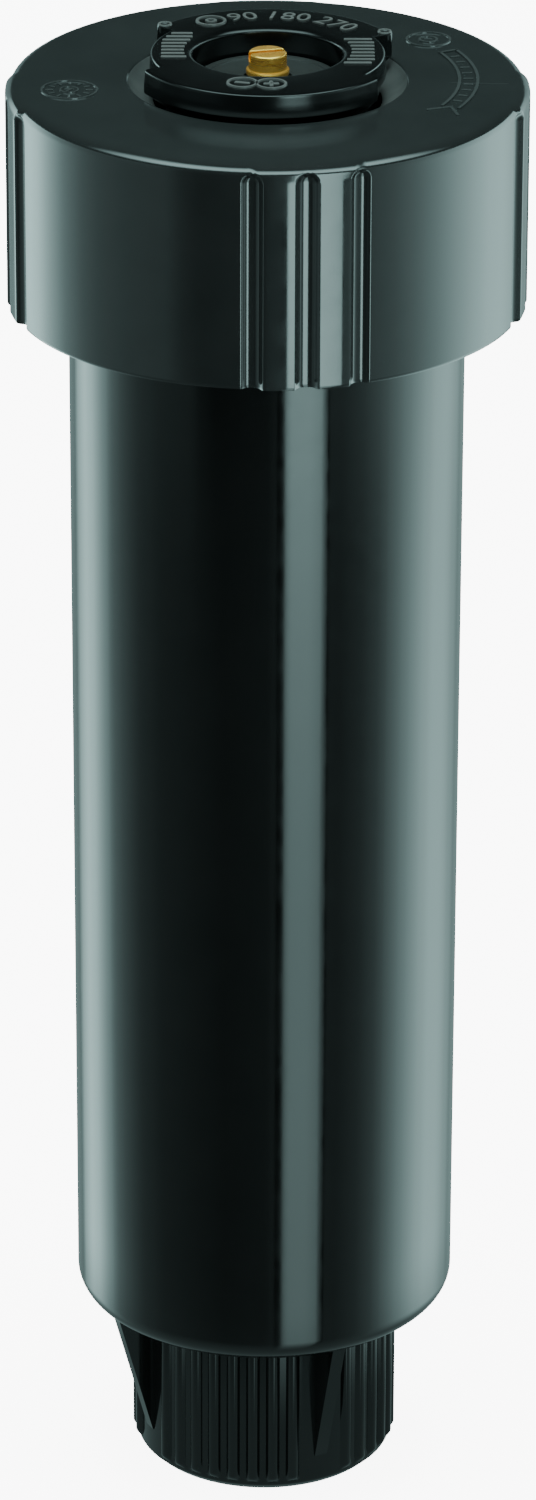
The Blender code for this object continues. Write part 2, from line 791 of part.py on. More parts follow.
def throttle_nut(parent):
    """Nut on the screw; its cone closes the seat in the nozzle body."""
    bore = SCREW_SHAFT + GAP
    outer = 3.0
    nose = 2.5
    low = 144.0
    cone_z = 147.2
    high = 148.5
    fin_reach = 5.9
    fin_half_angle = 8.0
    profile = [(bore, low), (outer, low), (outer, cone_z), (nose, high), (bore, high)]
    fins = [(outer - GAP, fin_reach, low + 0.6, low + 2.6, az, fin_half_angle) for az in SPOKE_AZIMUTHS]
    mesh = combine(turned(profile, SMALL), [("UNION", sectors(fins, steps=1))])
    return place("throttle_nut", mesh, "acetal", parent)


def filter_screen(parent):
    """Basket strainer that hangs under the nozzle, with three rows of windows."""
    outer = 7.3
    inner = outer - 0.9
    top = BASE_LOW_Z - GAP
    collar_low = top - 2.0
    bottom = 100.0
    floor = bottom + 1.2
    chamfer = 0.8
    profile = [(0.0, bottom), (outer - chamfer, bottom), (outer, bottom + chamfer), (outer, collar_low)]
    profile += [(BASE_SKIRT, collar_low), (BASE_SKIRT, top), (inner, top), (inner, floor), (0.0, floor)]
    columns = 6
    rows = 3
    row_pitch = 12.0
    window_height = 10.4
    window_half_angle = 19.0
    windows = []
    for row in range(rows):
        low = bottom + 3.0 + row_pitch * row
        for column in range(columns):
            azimuth = FULL_TURN * (column + 0.5) / columns
            windows.append((inner - 0.5, outer + 0.5, low, low + window_height, azimuth, window_half_angle))
    mesh = combine(turned(profile, SMALL), [("DIFFERENCE", sectors(windows, steps=1))])
    return place("filter_screen", mesh, "screen_plastic", parent)


def build():
    """Make every piece under the empty of the body it moves with."""
    clear_scene()
    case = motion_empty("case_frame", None)
    carrier = motion_empty("seal_carrier_axis", case)
    cap_axis = motion_empty("cap_axis", carrier)
    ratchet_axis = motion_empty("ratchet_axis", carrier)
    riser_axis = motion_empty("riser_axis", ratchet_axis)
    arc_axis = motion_empty("arc_ring_axis", riser_axis)
    screw_axis = motion_empty("screw_axis", riser_axis)
    throttle_axis = motion_empty("throttle_axis", riser_axis)
    body_case(case)
    rim_o_ring(case)
    cap(cap_axis)
    for make in (seal_retainer, wiper_seal):
        make(carrier)
    for make in (ratchet_ring, retract_spring):
        make(ratchet_axis)
    for make in (riser_stem, seal_holder, check_valve_seal, spring_washer, filter_screen, nozzle_gasket):
        make(riser_axis)
    for make in (nozzle_base, nozzle_hub, screw_o_ring):
        make(riser_axis)
    for make in (arc_ring, arc_ring_seal):
        make(arc_axis)
    for make in (adjusting_screw, screw_clip):
        make(screw_axis)
    throttle_nut(throttle_axis)


build()
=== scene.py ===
"""Looks of the pop-up sprinkler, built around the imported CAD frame.

Every fine piece below stands for one CAD node, follows the same outline and rides on the same body.
Lengths are in millimetres until a piece is finished; the heights of the ends come from the CAD boxes.
"""
import math

import bmesh
import bpy
from mathutils import Matrix, Vector


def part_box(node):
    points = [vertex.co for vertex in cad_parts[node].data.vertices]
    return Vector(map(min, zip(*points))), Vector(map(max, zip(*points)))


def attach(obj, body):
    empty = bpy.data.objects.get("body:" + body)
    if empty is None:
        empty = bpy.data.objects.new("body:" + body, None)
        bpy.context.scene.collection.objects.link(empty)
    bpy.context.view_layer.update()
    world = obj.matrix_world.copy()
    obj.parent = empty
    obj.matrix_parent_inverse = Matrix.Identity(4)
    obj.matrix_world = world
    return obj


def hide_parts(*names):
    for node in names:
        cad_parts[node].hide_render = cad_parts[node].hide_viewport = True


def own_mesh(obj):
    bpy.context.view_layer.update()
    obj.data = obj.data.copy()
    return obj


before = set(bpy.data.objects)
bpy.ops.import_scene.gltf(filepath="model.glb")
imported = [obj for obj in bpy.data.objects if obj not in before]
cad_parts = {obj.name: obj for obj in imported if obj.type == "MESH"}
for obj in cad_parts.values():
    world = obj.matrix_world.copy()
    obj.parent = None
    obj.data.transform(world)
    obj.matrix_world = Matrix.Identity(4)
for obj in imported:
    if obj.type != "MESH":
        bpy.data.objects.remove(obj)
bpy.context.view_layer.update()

MM = 0.001
FULL_TURN = 360.0
GAP = 0.3                     # clearance between pieces
SLIVER = 0.0001               # faces thinner than this are removed after a Boolean


def top_of(node):
    """Highest point of a CAD node, in millimetres."""
    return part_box(node)[1].z / MM


def low_of(node):
    """Lowest point of a CAD node, in millimetres."""
    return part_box(node)[0].z / MM


# Heights read from the frame, in millimetres.
CAP_TOP = top_of("cap")
CAP_LOW = low_of("cap")
HEAD_TOP = top_of("arc_ring")
RIM = top_of("body_case")
STEM_TOP = top_of("riser_stem")
STEM_LOW = low_of("riser_stem") + 0.4       # the fine tube ends 0.4 mm higher
RETAINER_LOW = low_of("seal_retainer")
SCREW_TOP = top_of("adjusting_screw")
SCREW_LOW = low_of("adjusting_screw")
BASE_TOP = top_of("nozzle_base") - 1.0      # without the arc stop
BASE_LOW = low_of("nozzle_base")
HUB_TOP = top_of("nozzle_hub")
HUB_LOW = low_of("nozzle_hub")

# Radii that the boxes don't give.
CAP_RADIUS = 28.5
CAP_FILLET = 1.4
CAP_HOLE = 15.4
CAP_BORE = 24.6
BODY_RADIUS = 21.9
BODY_TOP_RADIUS = 22.1
SHOULDER = 20.4
SHOULDER_FILLET = 3.0
THREAD_ROOT = 24.2
THREAD_CREST = 25.6
CAP_PITCH = 3.0
BOSS_RADIUS = 14.9
INLET_MAJOR = 10.48
INLET_MINOR = 9.32
INLET_PITCH = 1.814
HEAD_RADIUS = 15.0
STEM_RADIUS = 10.0
STEM_BORE = 8.2
STALK_RADIUS = 4.1
SCREW_SHAFT = 1.5
KEY_RADIUS = 18.6             # inner faces of the case's keys
TURN_STEPS = 72               # steps in each turn of a thread

# Sides of a turned piece.
ROUND = 144
TINY = 64


# -------- mesh helpers

def polar(radius, degrees, height):
    """A point from its radius, azimuth in degrees and height."""
    angle = math.radians(degrees)
    return (radius * math.cos(angle), radius * math.sin(angle), height)


def arc(centre, radius, start, end, steps):
    """Points of a circular arc in the (radius, height) plane; angles in degrees."""
    points = []
    for step in range(steps + 1):
        angle = math.radians(start + (end - start) * step / steps)
        points.append((centre[0] + radius * math.cos(angle), centre[1] + radius * math.sin(angle)))
    return points


def wire(radius, height, thickness, sides=16):
    """A round section centred at (radius, height)."""
    return arc((radius, height), thickness, 0.0, FULL_TURN - FULL_TURN / sides, sides - 1)


def wrapped(azimuth):
    """An azimuth brought between 0 and 360 degrees and rounded, so that equal ones count once."""
    return round(azimuth % FULL_TURN, 3)


def even_azimuths(count):
    """Azimuths of a full circle in equal steps."""
    return [FULL_TURN * k / count for k in range(count)]


def nearest_offset(azimuth, marks):
    """Signed angle from the nearest of some azimuths."""
    offsets = [(azimuth - mark + 180.0) % FULL_TURN - 180.0 for mark in marks]
    return min(offsets, key=abs)


def denser_azimuths(count, gap, spots):
    """Even azimuths, replaced by closer ones round some spots, each (azimuth, offsets)."""
    marks = [mark for mark, _ in spots]
    azimuths = {wrapped(a) for a in even_azimuths(count) if abs(nearest_offset(a, marks)) > gap}
    return sorted(azimuths | {wrapped(mark + offset) for mark, offsets in spots for offset in offsets})


def close_up(mesh):
    """Turn every face of a closed mesh outwards."""
    bmesh.ops.recalc_face_normals(mesh, faces=mesh.faces)
    return mesh


def skin(mesh, lower, upper):
    """Join two closed rings of vertices with faces; a ring may be a single vertex."""
    count = max(len(lower), len(upper))
    if count == 1:
        return
    for k in range(count):
        nxt = (k + 1) % count
        if len(lower) == 1:
            mesh.faces.new((lower[0], upper[k], upper[nxt]))
        elif len(upper) == 1:
            mesh.faces.new((lower[k], lower[nxt], upper[0]))
        else:
            mesh.faces.new((lower[k], lower[nxt], upper[nxt], upper[k]))


def turned(profile, segments=ROUND, azimuths=None, relief=None):
    """Solid of revolution from a closed (radius, height) outline.

    relief(azimuth, radius, height) is added to the radius of each point.
    """
    azimuths = azimuths or even_azimuths(segments)
    mesh = bmesh.new()
    rings = []
    for radius, height in profile:
        if radius <= 0.0:
            rings.append([mesh.verts.new((0.0, 0.0, height))])
            continue
        ring = []
        for azimuth in azimuths:
            extra = relief(azimuth, radius, height) if relief else 0.0
            ring.append(mesh.verts.new(polar(radius + extra, azimuth, height)))
        rings.append(ring)
    for lower, upper in zip(rings, rings[1:] + rings[:1]):
        skin(mesh, lower, upper)
    return close_up(mesh)


def loft(mesh, rows):
    """Close a tube through rows of points and cap both its ends."""
    rings = [[mesh.verts.new(point) for point in row] for row in rows]
    for lower, upper in zip(rings, rings[1:]):
        skin(mesh, lower, upper)
    mesh.faces.new(rings[0])
    mesh.faces.new(rings[-1])


def sectors(blocks, steps=6):
    """Ring sectors, each (inner radius, outer radius, low, high, middle azimuth, half angle)."""
    mesh = bmesh.new()
    for inner, outer, low, high, middle, half in blocks:
        rows = []
        for step in range(steps + 1):
            azimuth = middle - half + 2.0 * half * step / steps
            corners = ((inner, low), (outer, low), (outer, high), (inner, high))
            rows.append([polar(radius, azimuth, height) for radius, height in corners])
        loft(mesh, rows)
    return close_up(mesh)


def radial_plates(outline, thickness, azimuths):
    """Flat plates standing on radial planes, from a (radius, height) outline."""
    mesh = bmesh.new()
    for azimuth in azimuths:
        rows = []
        for side in (-0.5, 0.5):
            shift = polar(side * thickness, azimuth + 90.0, 0.0)
            row = []
            for radius, height in outline:
                x, y, z = polar(radius, azimuth, height)
                row.append((x + shift[0], y + shift[1], z))
            rows.append(row)
        loft(mesh, rows)
    return close_up(mesh)


def helical_bar(section, pitch, start_z, turns, steps_per_turn, fade_steps=0):
    """Sweep a closed (radius, height) section along a right-hand helix about Z."""
    mesh = bmesh.new()
    steps = round(turns * steps_per_turn)
    root = section[0][0]
    rows = []
    for step in range(steps + 1):
        fade = 1.0
        if fade_steps:
            fade = min(1.0, (min(step, steps - step) + 0.4) / fade_steps)
        azimuth = FULL_TURN * step / steps_per_turn
        rise = start_z + pitch * step / steps_per_turn
        rows.append([polar(root + (r - root) * fade, azimuth, rise + z) for r, z in section])
    loft(mesh, rows)
    return close_up(mesh)


def as_object(name, mesh):
    """Put a bmesh into a new object of the scene."""
    data = bpy.data.meshes.new(name)
    mesh.to_mesh(data)
    mesh.free()
    obj = bpy.data.objects.new(name, data)
    bpy.context.scene.collection.objects.link(obj)
    return obj


def combine(mesh, changes):
    """Apply Boolean changes, each (operation, tool mesh), and return the cleaned new bmesh."""
    base = as_object("work", mesh)
    tools = []
    for operation, tool_mesh in changes:
        tool = as_object("tool", tool_mesh)
        tools.append(tool)
        modifier = base.modifiers.new(operation.lower(), "BOOLEAN")
        modifier.operation = operation
        modifier.object = tool
        modifier.solver = "EXACT"
    graph = bpy.context.evaluated_depsgraph_get()
    result = bmesh.new()
    result.from_mesh(base.evaluated_get(graph).to_mesh())
    bmesh.ops.dissolve_degenerate(result, dist=SLIVER, edges=result.edges)
    for spare in [base] + tools:
        bpy.data.objects.remove(spare, do_unlink=True)
    return result


def finish_piece(name, mesh, material, body, node=None, sharp=35.0):
    """Scale a piece to metres, shade it, paint it and join it to its CAD body."""
    bmesh.ops.scale(mesh, vec=(MM, MM, MM), verts=mesh.verts)
    obj = as_object(name, mesh)
    obj.data.materials.append(material)
    obj.data.shade_smooth()
    obj.data.set_sharp_from_angle(angle=math.radians(sharp))
    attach(obj, body)
    if node:
        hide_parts(node)
    return obj


# -------- materials

class Nodes:
    """A short way to build a material's node tree."""

    def __init__(self, name):
        self.material = bpy.data.materials.new(name)
        self.material.use_nodes = True
        self.tree = self.material.node_tree
        self.shader = self.tree.nodes["Principled BSDF"]
        self.place = self.tree.nodes.new("ShaderNodeTexCoord").outputs["Object"]

    def add(self, kind, **settings):
        """Add a node and set its properties, or its inputs by name."""
        node = self.tree.nodes.new(kind)
        for key, value in settings.items():
            if hasattr(node, key):
                setattr(node, key, value)
            else:
                node.inputs[key.replace("_", " ")].default_value = value
        return node

    def link(self, source, target):
        self.tree.links.new(source, target)

    def stretched(self, scale):
        """Object coordinates scaled by a different factor along each axis."""
        mapping = self.add("ShaderNodeMapping", Scale=scale)
        self.link(self.place, mapping.inputs["Vector"])
        return mapping.outputs["Vector"]

    def noise(self, scale, detail=3.0, vector=None):
        """A noise value; scale is in features per metre."""
        node = self.add("ShaderNodeTexNoise", Scale=scale, Detail=detail)
        self.link(vector or self.place, node.inputs["Vector"])
        return node.outputs["Fac"]

    def spread(self, value, low, high):
        """Map a 0.3-0.7 noise value to low-high."""
        node = self.add("ShaderNodeMapRange", From_Min=0.3, From_Max=0.7, To_Min=low, To_Max=high)
        self.link(value, node.inputs["Value"])
        return node.outputs["Result"]

    def two_tone(self, value, first, second):
        """Blend between two colours by a noise value."""
        ramp = self.add("ShaderNodeValToRGB")
        for stop, position, colour in zip(ramp.color_ramp.elements, (0.3, 0.7), (first, second)):
            stop.position = position
            stop.color = (*colour, 1.0)
        self.link(value, ramp.inputs["Fac"])
        return ramp.outputs["Color"]

    def bump(self, height, distance, normal=None):
        """Bump of a real height in metres."""
        node = self.add("ShaderNodeBump", Distance=distance)
        self.link(height, node.inputs["Height"])
        if normal:
            self.link(normal, node.inputs["Normal"])
        return node.outputs["Normal"]


def moulded(name, first, second, rough, specular, peel, grain):
    """Moulded plastic: mottled colour, uneven gloss, slow waviness and a fine surface grain."""
    n = Nodes(name)
    shader = n.shader.inputs
    n.link(n.two_tone(n.noise(140.0), first, second), shader["Base Color"])
    n.link(n.spread(n.noise(420.0, 5.0), rough[0], rough[1]), shader["Roughness"])
    wavy = n.bump(n.noise(110.0, 1.0), peel)
    n.link(n.bump(n.noise(5200.0, 2.0), grain, wavy), shader["Normal"])
    shader["Specular IOR Level"].default_value = specular
    return n.material


def rubber_material():
    """Dull moulded rubber with a dusty bloom."""
    n = Nodes("moulded_rubber")
    shader = n.shader.inputs
    colour = n.two_tone(n.noise(600.0, 5.0), (0.008, 0.008, 0.009), (0.022, 0.022, 0.023))
    n.link(colour, shader["Base Color"])
    n.link(n.spread(n.noise(900.0, 4.0), 0.52, 0.78), shader["Roughness"])
    n.link(n.bump(n.noise(4000.0, 4.0), 1.2e-5), shader["Normal"])
    return n.material


def metal(name, first, second, rough, stretch, depth, metallic=1.0):
    """Turned or drawn metal: fine marks that run round or along the piece."""
    n = Nodes(name)
    shader = n.shader.inputs
    shader["Metallic"].default_value = metallic
    n.link(n.two_tone(n.noise(900.0, 4.0), first, second), shader["Base Color"])
    marks = n.noise(1.0, 4.0, n.stretched(stretch))
    n.link(n.spread(marks, rough[0], rough[1]), shader["Roughness"])
    n.link(n.bump(marks, depth), shader["Normal"])
    return n.material


BODY = moulded("glossy_black_plastic", (0.0040, 0.0052, 0.0050), (0.0052, 0.0066, 0.0063),
               (0.07, 0.12), 0.5, 1e-5, 6e-7)
CAP = moulded("satin_grey_plastic", (0.0120, 0.0175, 0.0172), (0.0150, 0.0210, 0.0206),
              (0.10, 0.15), 0.8, 8e-6, 1.2e-6)
HEAD = moulded("glossy_head_plastic", (0.0022, 0.0029, 0.0029), (0.0034, 0.0044, 0.0044),
               (0.15, 0.23), 0.42, 6e-6, 1.2e-6)
# Lighter grey for the cap's countersunk seat: painted reflection of the side lights in the cone.
PAINTED_SEAT_REFLECTION = moulded("seat_painted_reflection", (0.040, 0.054, 0.052), (0.060, 0.078, 0.075),
               (0.40, 0.55), 0.5, 1e-5, 4e-6)
# Light grey for the raised marks moulded in the black head: painted highlight of their lit edges.
PAINTED_MARK_HIGHLIGHT = moulded("raised_mark_painted_highlight", (0.058, 0.076, 0.073), (0.080, 0.102, 0.098),
                (0.26, 0.38), 0.4, 4e-6, 2e-6)
# Lighter grey for the relief moulded in the cap's top: painted highlight of its raised edges.
PAINTED_CAP_RELIEF_HIGHLIGHT = moulded("cap_relief_painted_highlight", (0.025, 0.036, 0.035), (0.033, 0.046, 0.045),
                    (0.12, 0.18), 0.5, 6e-6, 1.2e-6)
HUB = moulded("grey_hub_plastic", (0.016, 0.022, 0.021), (0.023, 0.030, 0.029),
              (0.32, 0.44), 0.5, 6e-6, 2e-6)
RISER = moulded("riser_black_plastic", (0.0070, 0.0080, 0.0080), (0.0100, 0.0115, 0.0112),
                (0.16, 0.26), 0.5, 8e-6, 1.4e-6)
ACETAL = moulded("white_acetal", (0.50, 0.51, 0.49), (0.60, 0.61, 0.59),
                 (0.30, 0.42), 0.5, 8e-6, 2e-6)
SCREEN = moulded("blue_screen_plastic", (0.08, 0.14, 0.22), (0.12, 0.18, 0.27),
                 (0.34, 0.48), 0.5, 6e-6, 2e-6)
RUBBER = rubber_material()
STEEL = metal("drawn_steel", (0.52, 0.52, 0.51), (0.66, 0.66, 0.65),
              (0.16, 0.34), (3000.0, 3000.0, 300.0), 1.5e-6)
BRASS = metal("turned_brass", (0.84, 0.50, 0.080), (0.95, 0.60, 0.125),
              (0.22, 0.36), (250.0, 250.0, 4000.0), 1e-6, 0.75)


# -------- case

WING_AZIMUTH = -63.4
WING_LOW = 4.2
WING_REACH = 19.4
WING_THICKNESS = 1.6
WINGS = [WING_AZIMUTH + 90.0 * quadrant for quadrant in range(4)]
RIB_PITCH = 9.0
RIBS = [wing + 13.5 + RIB_PITCH * k for wing in WINGS for k in range(8)]
RIB_HEIGHT = 0.6
RIB_HALF = 0.78               # half width of a rib
KEY_AZIMUTHS = (0.0, 90.0, 180.0, 270.0)
FLOOR = SHOULDER + 2.5
THREAD_START = 147.9
THREAD_TURNS = 3.2


def boss_rib_relief(azimuth, radius, height):
    """Rounded upright ribs on the inlet boss; they fade out above the bottom ring."""
    if abs(radius - BOSS_RADIUS) > 0.05 or height < 1.0 or height > SHOULDER + 0.1:
        return 0.0
    across = abs(nearest_offset(azimuth, RIBS)) * math.pi / 180.0 * BOSS_RADIUS
    if across >= RIB_HALF:
        return 0.0
    crest = RIB_HEIGHT * (1.0 - (across / RIB_HALF) ** 2.6)
    rise = min(1.0, max(0.0, (height - 1.3) / 0.9))
    return crest * math.sin(rise * math.pi / 2.0)


def build_case():
    """Tube, shoulder, ribbed boss, wings, keys and both threads."""
    chamber = BODY_RADIUS - 2.0
    flare = CAP_LOW + 1.0
    ledge = 152.5
    throat = 8.5
    thread_end = 15.5
    outline = [(BOSS_RADIUS - 1.0, 0.0), (BOSS_RADIUS - 0.9, 0.08), (BOSS_RADIUS - 0.08, 0.85)]
    outline += [(BOSS_RADIUS, 1.0)]
    outline += [(BOSS_RADIUS, z) for z in (1.3, 1.45, 1.6, 1.8, 2.0, 2.2, 8.0, 14.0, SHOULDER)]
    corner = (BODY_RADIUS - SHOULDER_FILLET, SHOULDER + SHOULDER_FILLET)
    outline += arc(corner, SHOULDER_FILLET, -90.0, 0.0, 16)
    outline += [(BODY_RADIUS + 0.06, 60.0), (BODY_RADIUS + 0.12, 100.0)]
    outline += [(BODY_TOP_RADIUS, flare), (THREAD_ROOT, flare + 2.1)]
    outline += [(THREAD_ROOT, RIM - 0.3), (THREAD_ROOT - 0.3, RIM)]
    outline += [(23.6, RIM), (23.6, RIM - 0.8), (22.6, RIM - 0.8), (22.6, RIM)]
    outline += [(22.1, RIM), (22.1, ledge), (chamber, ledge - 2.0), (chamber, FLOOR + 1.0)]
    outline += [(chamber - 1.0, FLOOR), (throat, FLOOR), (throat, thread_end + 0.8)]
    outline += [(INLET_MINOR, thread_end), (INLET_MINOR, 1.5), (INLET_MAJOR + 0.3, 0.0)]
    beside_rib = [0.62 * step for step in range(-5, 6)] + [RIB_PITCH / 2.0]
    beside_wing = [2.1 * step for step in range(-4, 5)]
    spots = [(rib, beside_rib) for rib in RIBS] + [(wing, beside_wing) for wing in WINGS]
    shell = turned(outline, azimuths=denser_azimuths(0, 0.0, spots), relief=boss_rib_relief)
    inner = BOSS_RADIUS - 0.5
    wing = [(inner, WING_LOW), (BOSS_RADIUS + 0.1, WING_LOW)]
    wing += [(WING_REACH, SHOULDER - 0.4), (WING_REACH, SHOULDER + 0.4), (inner, SHOULDER + 0.4)]
    wings = radial_plates(wing, WING_THICKNESS, WINGS)
    keys = sectors([(KEY_RADIUS, BODY_RADIUS - 1.0, FLOOR - 0.5, 150.0, az, 3.6) for az in KEY_AZIMUTHS])
    root = THREAD_ROOT - 0.5
    section = [(root, -1.0), (THREAD_CREST, -0.45), (THREAD_CREST, 0.45), (root, 1.0)]
    neck_thread = helical_bar(section, CAP_PITCH, THREAD_START, THREAD_TURNS, TURN_STEPS, fade_steps=16)
    root = INLET_MINOR - 0.3
    section = [(root, -0.78), (INLET_MAJOR, -0.18), (INLET_MAJOR, 0.18), (root, 0.78)]
    inlet = helical_bar(section, INLET_PITCH, -1.0, thread_end / INLET_PITCH, 48)
    changes = [("UNION", wings), ("UNION", keys), ("UNION", neck_thread), ("DIFFERENCE", inlet)]
    mesh = combine(shell, changes)
    finish_piece("case_shell", mesh, BODY, "case", "body_case", sharp=30.0)


# -------- cap

GRIP_CENTRES = (-81.4, -5.2, 90.0, 187.6)
GRIP_SPACING = 12.0
GRIP_PROUD = 0.39
GRIP_END = 1.4                # a pad fades out over this angle on each side of its last flute
FLUTE_HALF = 1.25             # half width of a flute at the pads' level
FLUTE_DEPTH = 0.5             # below the cap's plain wall
FLUTE_TOP = 168.0


def smooth_min(a, b, width):
    """Smaller of two values, with the corner between them rounded."""
    blend = max(width - abs(a - b), 0.0) / width
    return min(a, b) - blend * blend * width / 4.0


def cap_relief(azimuth, radius, height):
    """Grip pads and flutes on the cap's side."""
    if radius < CAP_RADIUS - CAP_FILLET - 0.01:
        return 0.0
    offset = nearest_offset(azimuth, GRIP_CENTRES)
    level = 0.0
    inside = min(1.0, (GRIP_SPACING + GRIP_END - abs(offset)) / (2.0 * GRIP_END))
    if inside > 0.0:
        rise = min(1.0, max(0.0, (height - CAP_TOP) / CAP_FILLET + 1.0))
        level = GRIP_PROUD * inside * inside * (3.0 - 2.0 * inside) * math.sqrt(1.0 - rise * rise)
    flute = min((-GRIP_SPACING, 0.0, GRIP_SPACING), key=lambda mark: abs(offset - mark))
    across = abs(offset - flute) * math.pi / 180.0 * CAP_RADIUS
    over = max(0.0, height - (FLUTE_TOP - 1.0))
    out = math.hypot(across, over) / FLUTE_HALF
    floor = (FLUTE_DEPTH + GRIP_PROUD) * out ** 3 - FLUTE_DEPTH
    return smooth_min(level, floor, 0.25)


def build_cap():
    """Screw cap: rounded top edge, grip flutes, countersunk hole and inside thread."""
    ceiling = CAP_TOP - 3.0
    corner = (CAP_RADIUS - CAP_FILLET, CAP_TOP - CAP_FILLET)
    outline = [(12.75, ceiling + 0.85), (13.2, ceiling + 1.0), (14.0, ceiling + 1.45), (14.8, ceiling + 2.1)]
    outline += [(15.25, ceiling + 2.7), (15.34, ceiling + 2.88), (15.5, CAP_TOP)]
    outline += [(20.0, CAP_TOP), (25.0, CAP_TOP)]
    outline += arc(corner, CAP_FILLET, 90.0, 4.0, 16)
    outline += [(CAP_RADIUS, CAP_TOP - CAP_FILLET - 0.13 * k) for k in range(12)]
    outline += [(CAP_RADIUS, z) for z in (164.8, 160.0, 152.0, CAP_LOW + 0.8, CAP_LOW + 0.45, CAP_LOW + 0.3)]
    outline += [(CAP_RADIUS - 0.09, CAP_LOW + 0.09), (CAP_RADIUS - 0.28, CAP_LOW)]
    outline += [(CAP_BORE + 0.8, CAP_LOW), (CAP_BORE, CAP_LOW + 0.8), (CAP_BORE, ceiling), (12.6, ceiling)]
    outline += [(12.6, ceiling + 0.7)]
    flutes = [centre + k * GRIP_SPACING for centre in GRIP_CENTRES for k in (-1, 0, 1)]
    spots = [(flute, [0.2 * step for step in range(-14, 15)]) for flute in flutes]
    shell = turned(outline, azimuths=denser_azimuths(180, 2.9, spots), relief=cap_relief)
    root = CAP_BORE - 0.5
    crest = THREAD_CREST + 0.5
    section = [(root, -1.27), (crest, -0.75), (crest, 0.75), (root, 1.27)]
    groove = helical_bar(section, CAP_PITCH, THREAD_START - 2.0 * CAP_PITCH, 6.0, TURN_STEPS)
    mesh = combine(shell, [("DIFFERENCE", groove)])
    cap = finish_piece("screw_cap", mesh, CAP, "cap", "cap", sharp=30.0)
    # The seat's faces get the lighter grey, a painted reflection.
    cap.data.materials.append(PAINTED_SEAT_REFLECTION)
    for face in cap.data.polygons:
        reach = math.hypot(face.center.x, face.center.y) / MM
        if reach < CAP_HOLE - 0.1 and face.center.z / MM > ceiling + 0.6:
            face.material_index = 1


# -------- head

NOTCHES = ((175.5, 30.5), (-6.5, 30.5))       # middle azimuth and half angle
NOTCH_RADIUS = 13.0
STOP_HALF = 7.0               # half angle of the arc stop's two lugs
RING_TOP = HEAD_TOP - 0.2


def head_relief(azimuth, radius, height):
    """Finger notches: the outer wall steps back between their ends."""
    if radius < NOTCH_RADIUS:
        return 0.0
    for middle, half in NOTCHES:
        inside = half - abs(nearest_offset(azimuth, [middle]))
        if inside > 0.0:
            return -(HEAD_RADIUS - NOTCH_RADIUS) * min(1.0, inside / 0.5)
    return 0.0


def build_head():
    """Head ring with recess, finger notches and a seal groove."""
    recess = 8.2
    web_top = 167.8
    web_low = 166.4
    skirt = 165.4
    bore = STALK_RADIUS + GAP
    outline = arc((recess + 0.75, RING_TOP - 0.75), 0.75, 180.0, 90.0, 8)
    outline += [(NOTCH_RADIUS - 0.6, RING_TOP)]
    outline += arc((HEAD_RADIUS - 0.47, RING_TOP - 0.35), 0.35, 90.0, 8.0, 8)
    outline += [(14.88, 171.9), (14.95, 171.2), (14.99, 170.6)]
    outline += [(HEAD_RADIUS, 169.9), (14.95, 169.7), (14.7, 169.6)]
    outline += [(12.2, 167.5), (9.6, 167.0), (9.6, skirt), (8.9, skirt), (8.9, 166.3), (7.1, 166.3)]
    outline += [(7.1, skirt), (6.2, skirt), (6.2, web_low), (bore, web_low), (bore, web_top)]
    outline += [(5.9, web_top), (5.9, 167.0), (7.3, 167.0), (7.3, web_top), (recess + 0.1, web_top)]
    inward = (-0.3, 0.0, 0.12, 0.25, 0.38, 0.5, 0.8)
    spots = [(middle - half, inward) for middle, half in NOTCHES]
    spots += [(middle + half, [-step for step in inward]) for middle, half in NOTCHES]
    ring = turned(outline, azimuths=denser_azimuths(240, 0.9, spots), relief=head_relief)
    lug = sectors([(6.9, 9.1, 165.6, 166.5, 8.0, STOP_HALF)])
    mesh = combine(ring, [("UNION", lug)])
    finish_piece("head_ring", mesh, HEAD, "arc_collar", "arc_ring", sharp=32.0)


def placed(mesh, turn, shift):
    """Turn a bmesh about Z, then move it."""
    turning = Matrix.Rotation(math.radians(turn), 3, "Z")
    bmesh.ops.rotate(mesh, verts=mesh.verts, cent=(0, 0, 0), matrix=turning)
    bmesh.ops.translate(mesh, verts=mesh.verts, vec=shift)
    return mesh


def raised_number(text, size, radius, azimuth, base, height):
    """A raised number whose foot points at the axis."""
    curve = bpy.data.curves.new("number", "FONT")
    curve.body = text
    curve.size = size
    curve.align_x = "CENTER"
    curve.align_y = "CENTER"
    curve.extrude = height / 2.0
    curve.resolution_u = 3
    obj = bpy.data.objects.new("number", curve)
    bpy.context.scene.collection.objects.link(obj)
    graph = bpy.context.evaluated_depsgraph_get()
    mesh = bmesh.new()
    mesh.from_mesh(obj.evaluated_get(graph).to_mesh())
    bpy.data.objects.remove(obj, do_unlink=True)
    return placed(mesh, azimuth - 90.0, polar(radius, azimuth, base + height / 2.0))


def ring_mark(radius, azimuth, outer, inner, base, height):
    """A small raised ring round a point of the top face."""
    top = base + height
    mesh = turned([(inner, base), (outer, base), (outer - 0.05, top), (inner + 0.05, top)], 48)
    return placed(mesh, 0.0, polar(radius, azimuth, 0.0))


def bar_mark(centre, length, width, turn, base, height):
    """A raised bar with bevelled sides, turned about its own middle."""
    mesh = bmesh.new()
    rows = []
    for z, shrink in ((base, 0.0), (base + height * 0.6, 0.0), (base + height, 0.09)):
        x = length / 2.0 - shrink
        y = width / 2.0 - shrink
        rows.append([(-x, -y, z), (x, -y, z), (x, y, z), (-x, y, z)])
    loft(mesh, rows)
    return placed(close_up(mesh), turn, (centre[0], centre[1], 0.0))


def joined(meshes):
    """Put several bmeshes into one."""
    result = bmesh.new()
    for mesh in meshes:
        data = bpy.data.meshes.new("part")
        mesh.to_mesh(data)
        mesh.free()
        result.from_mesh(data)
        bpy.data.meshes.remove(data)
    return result


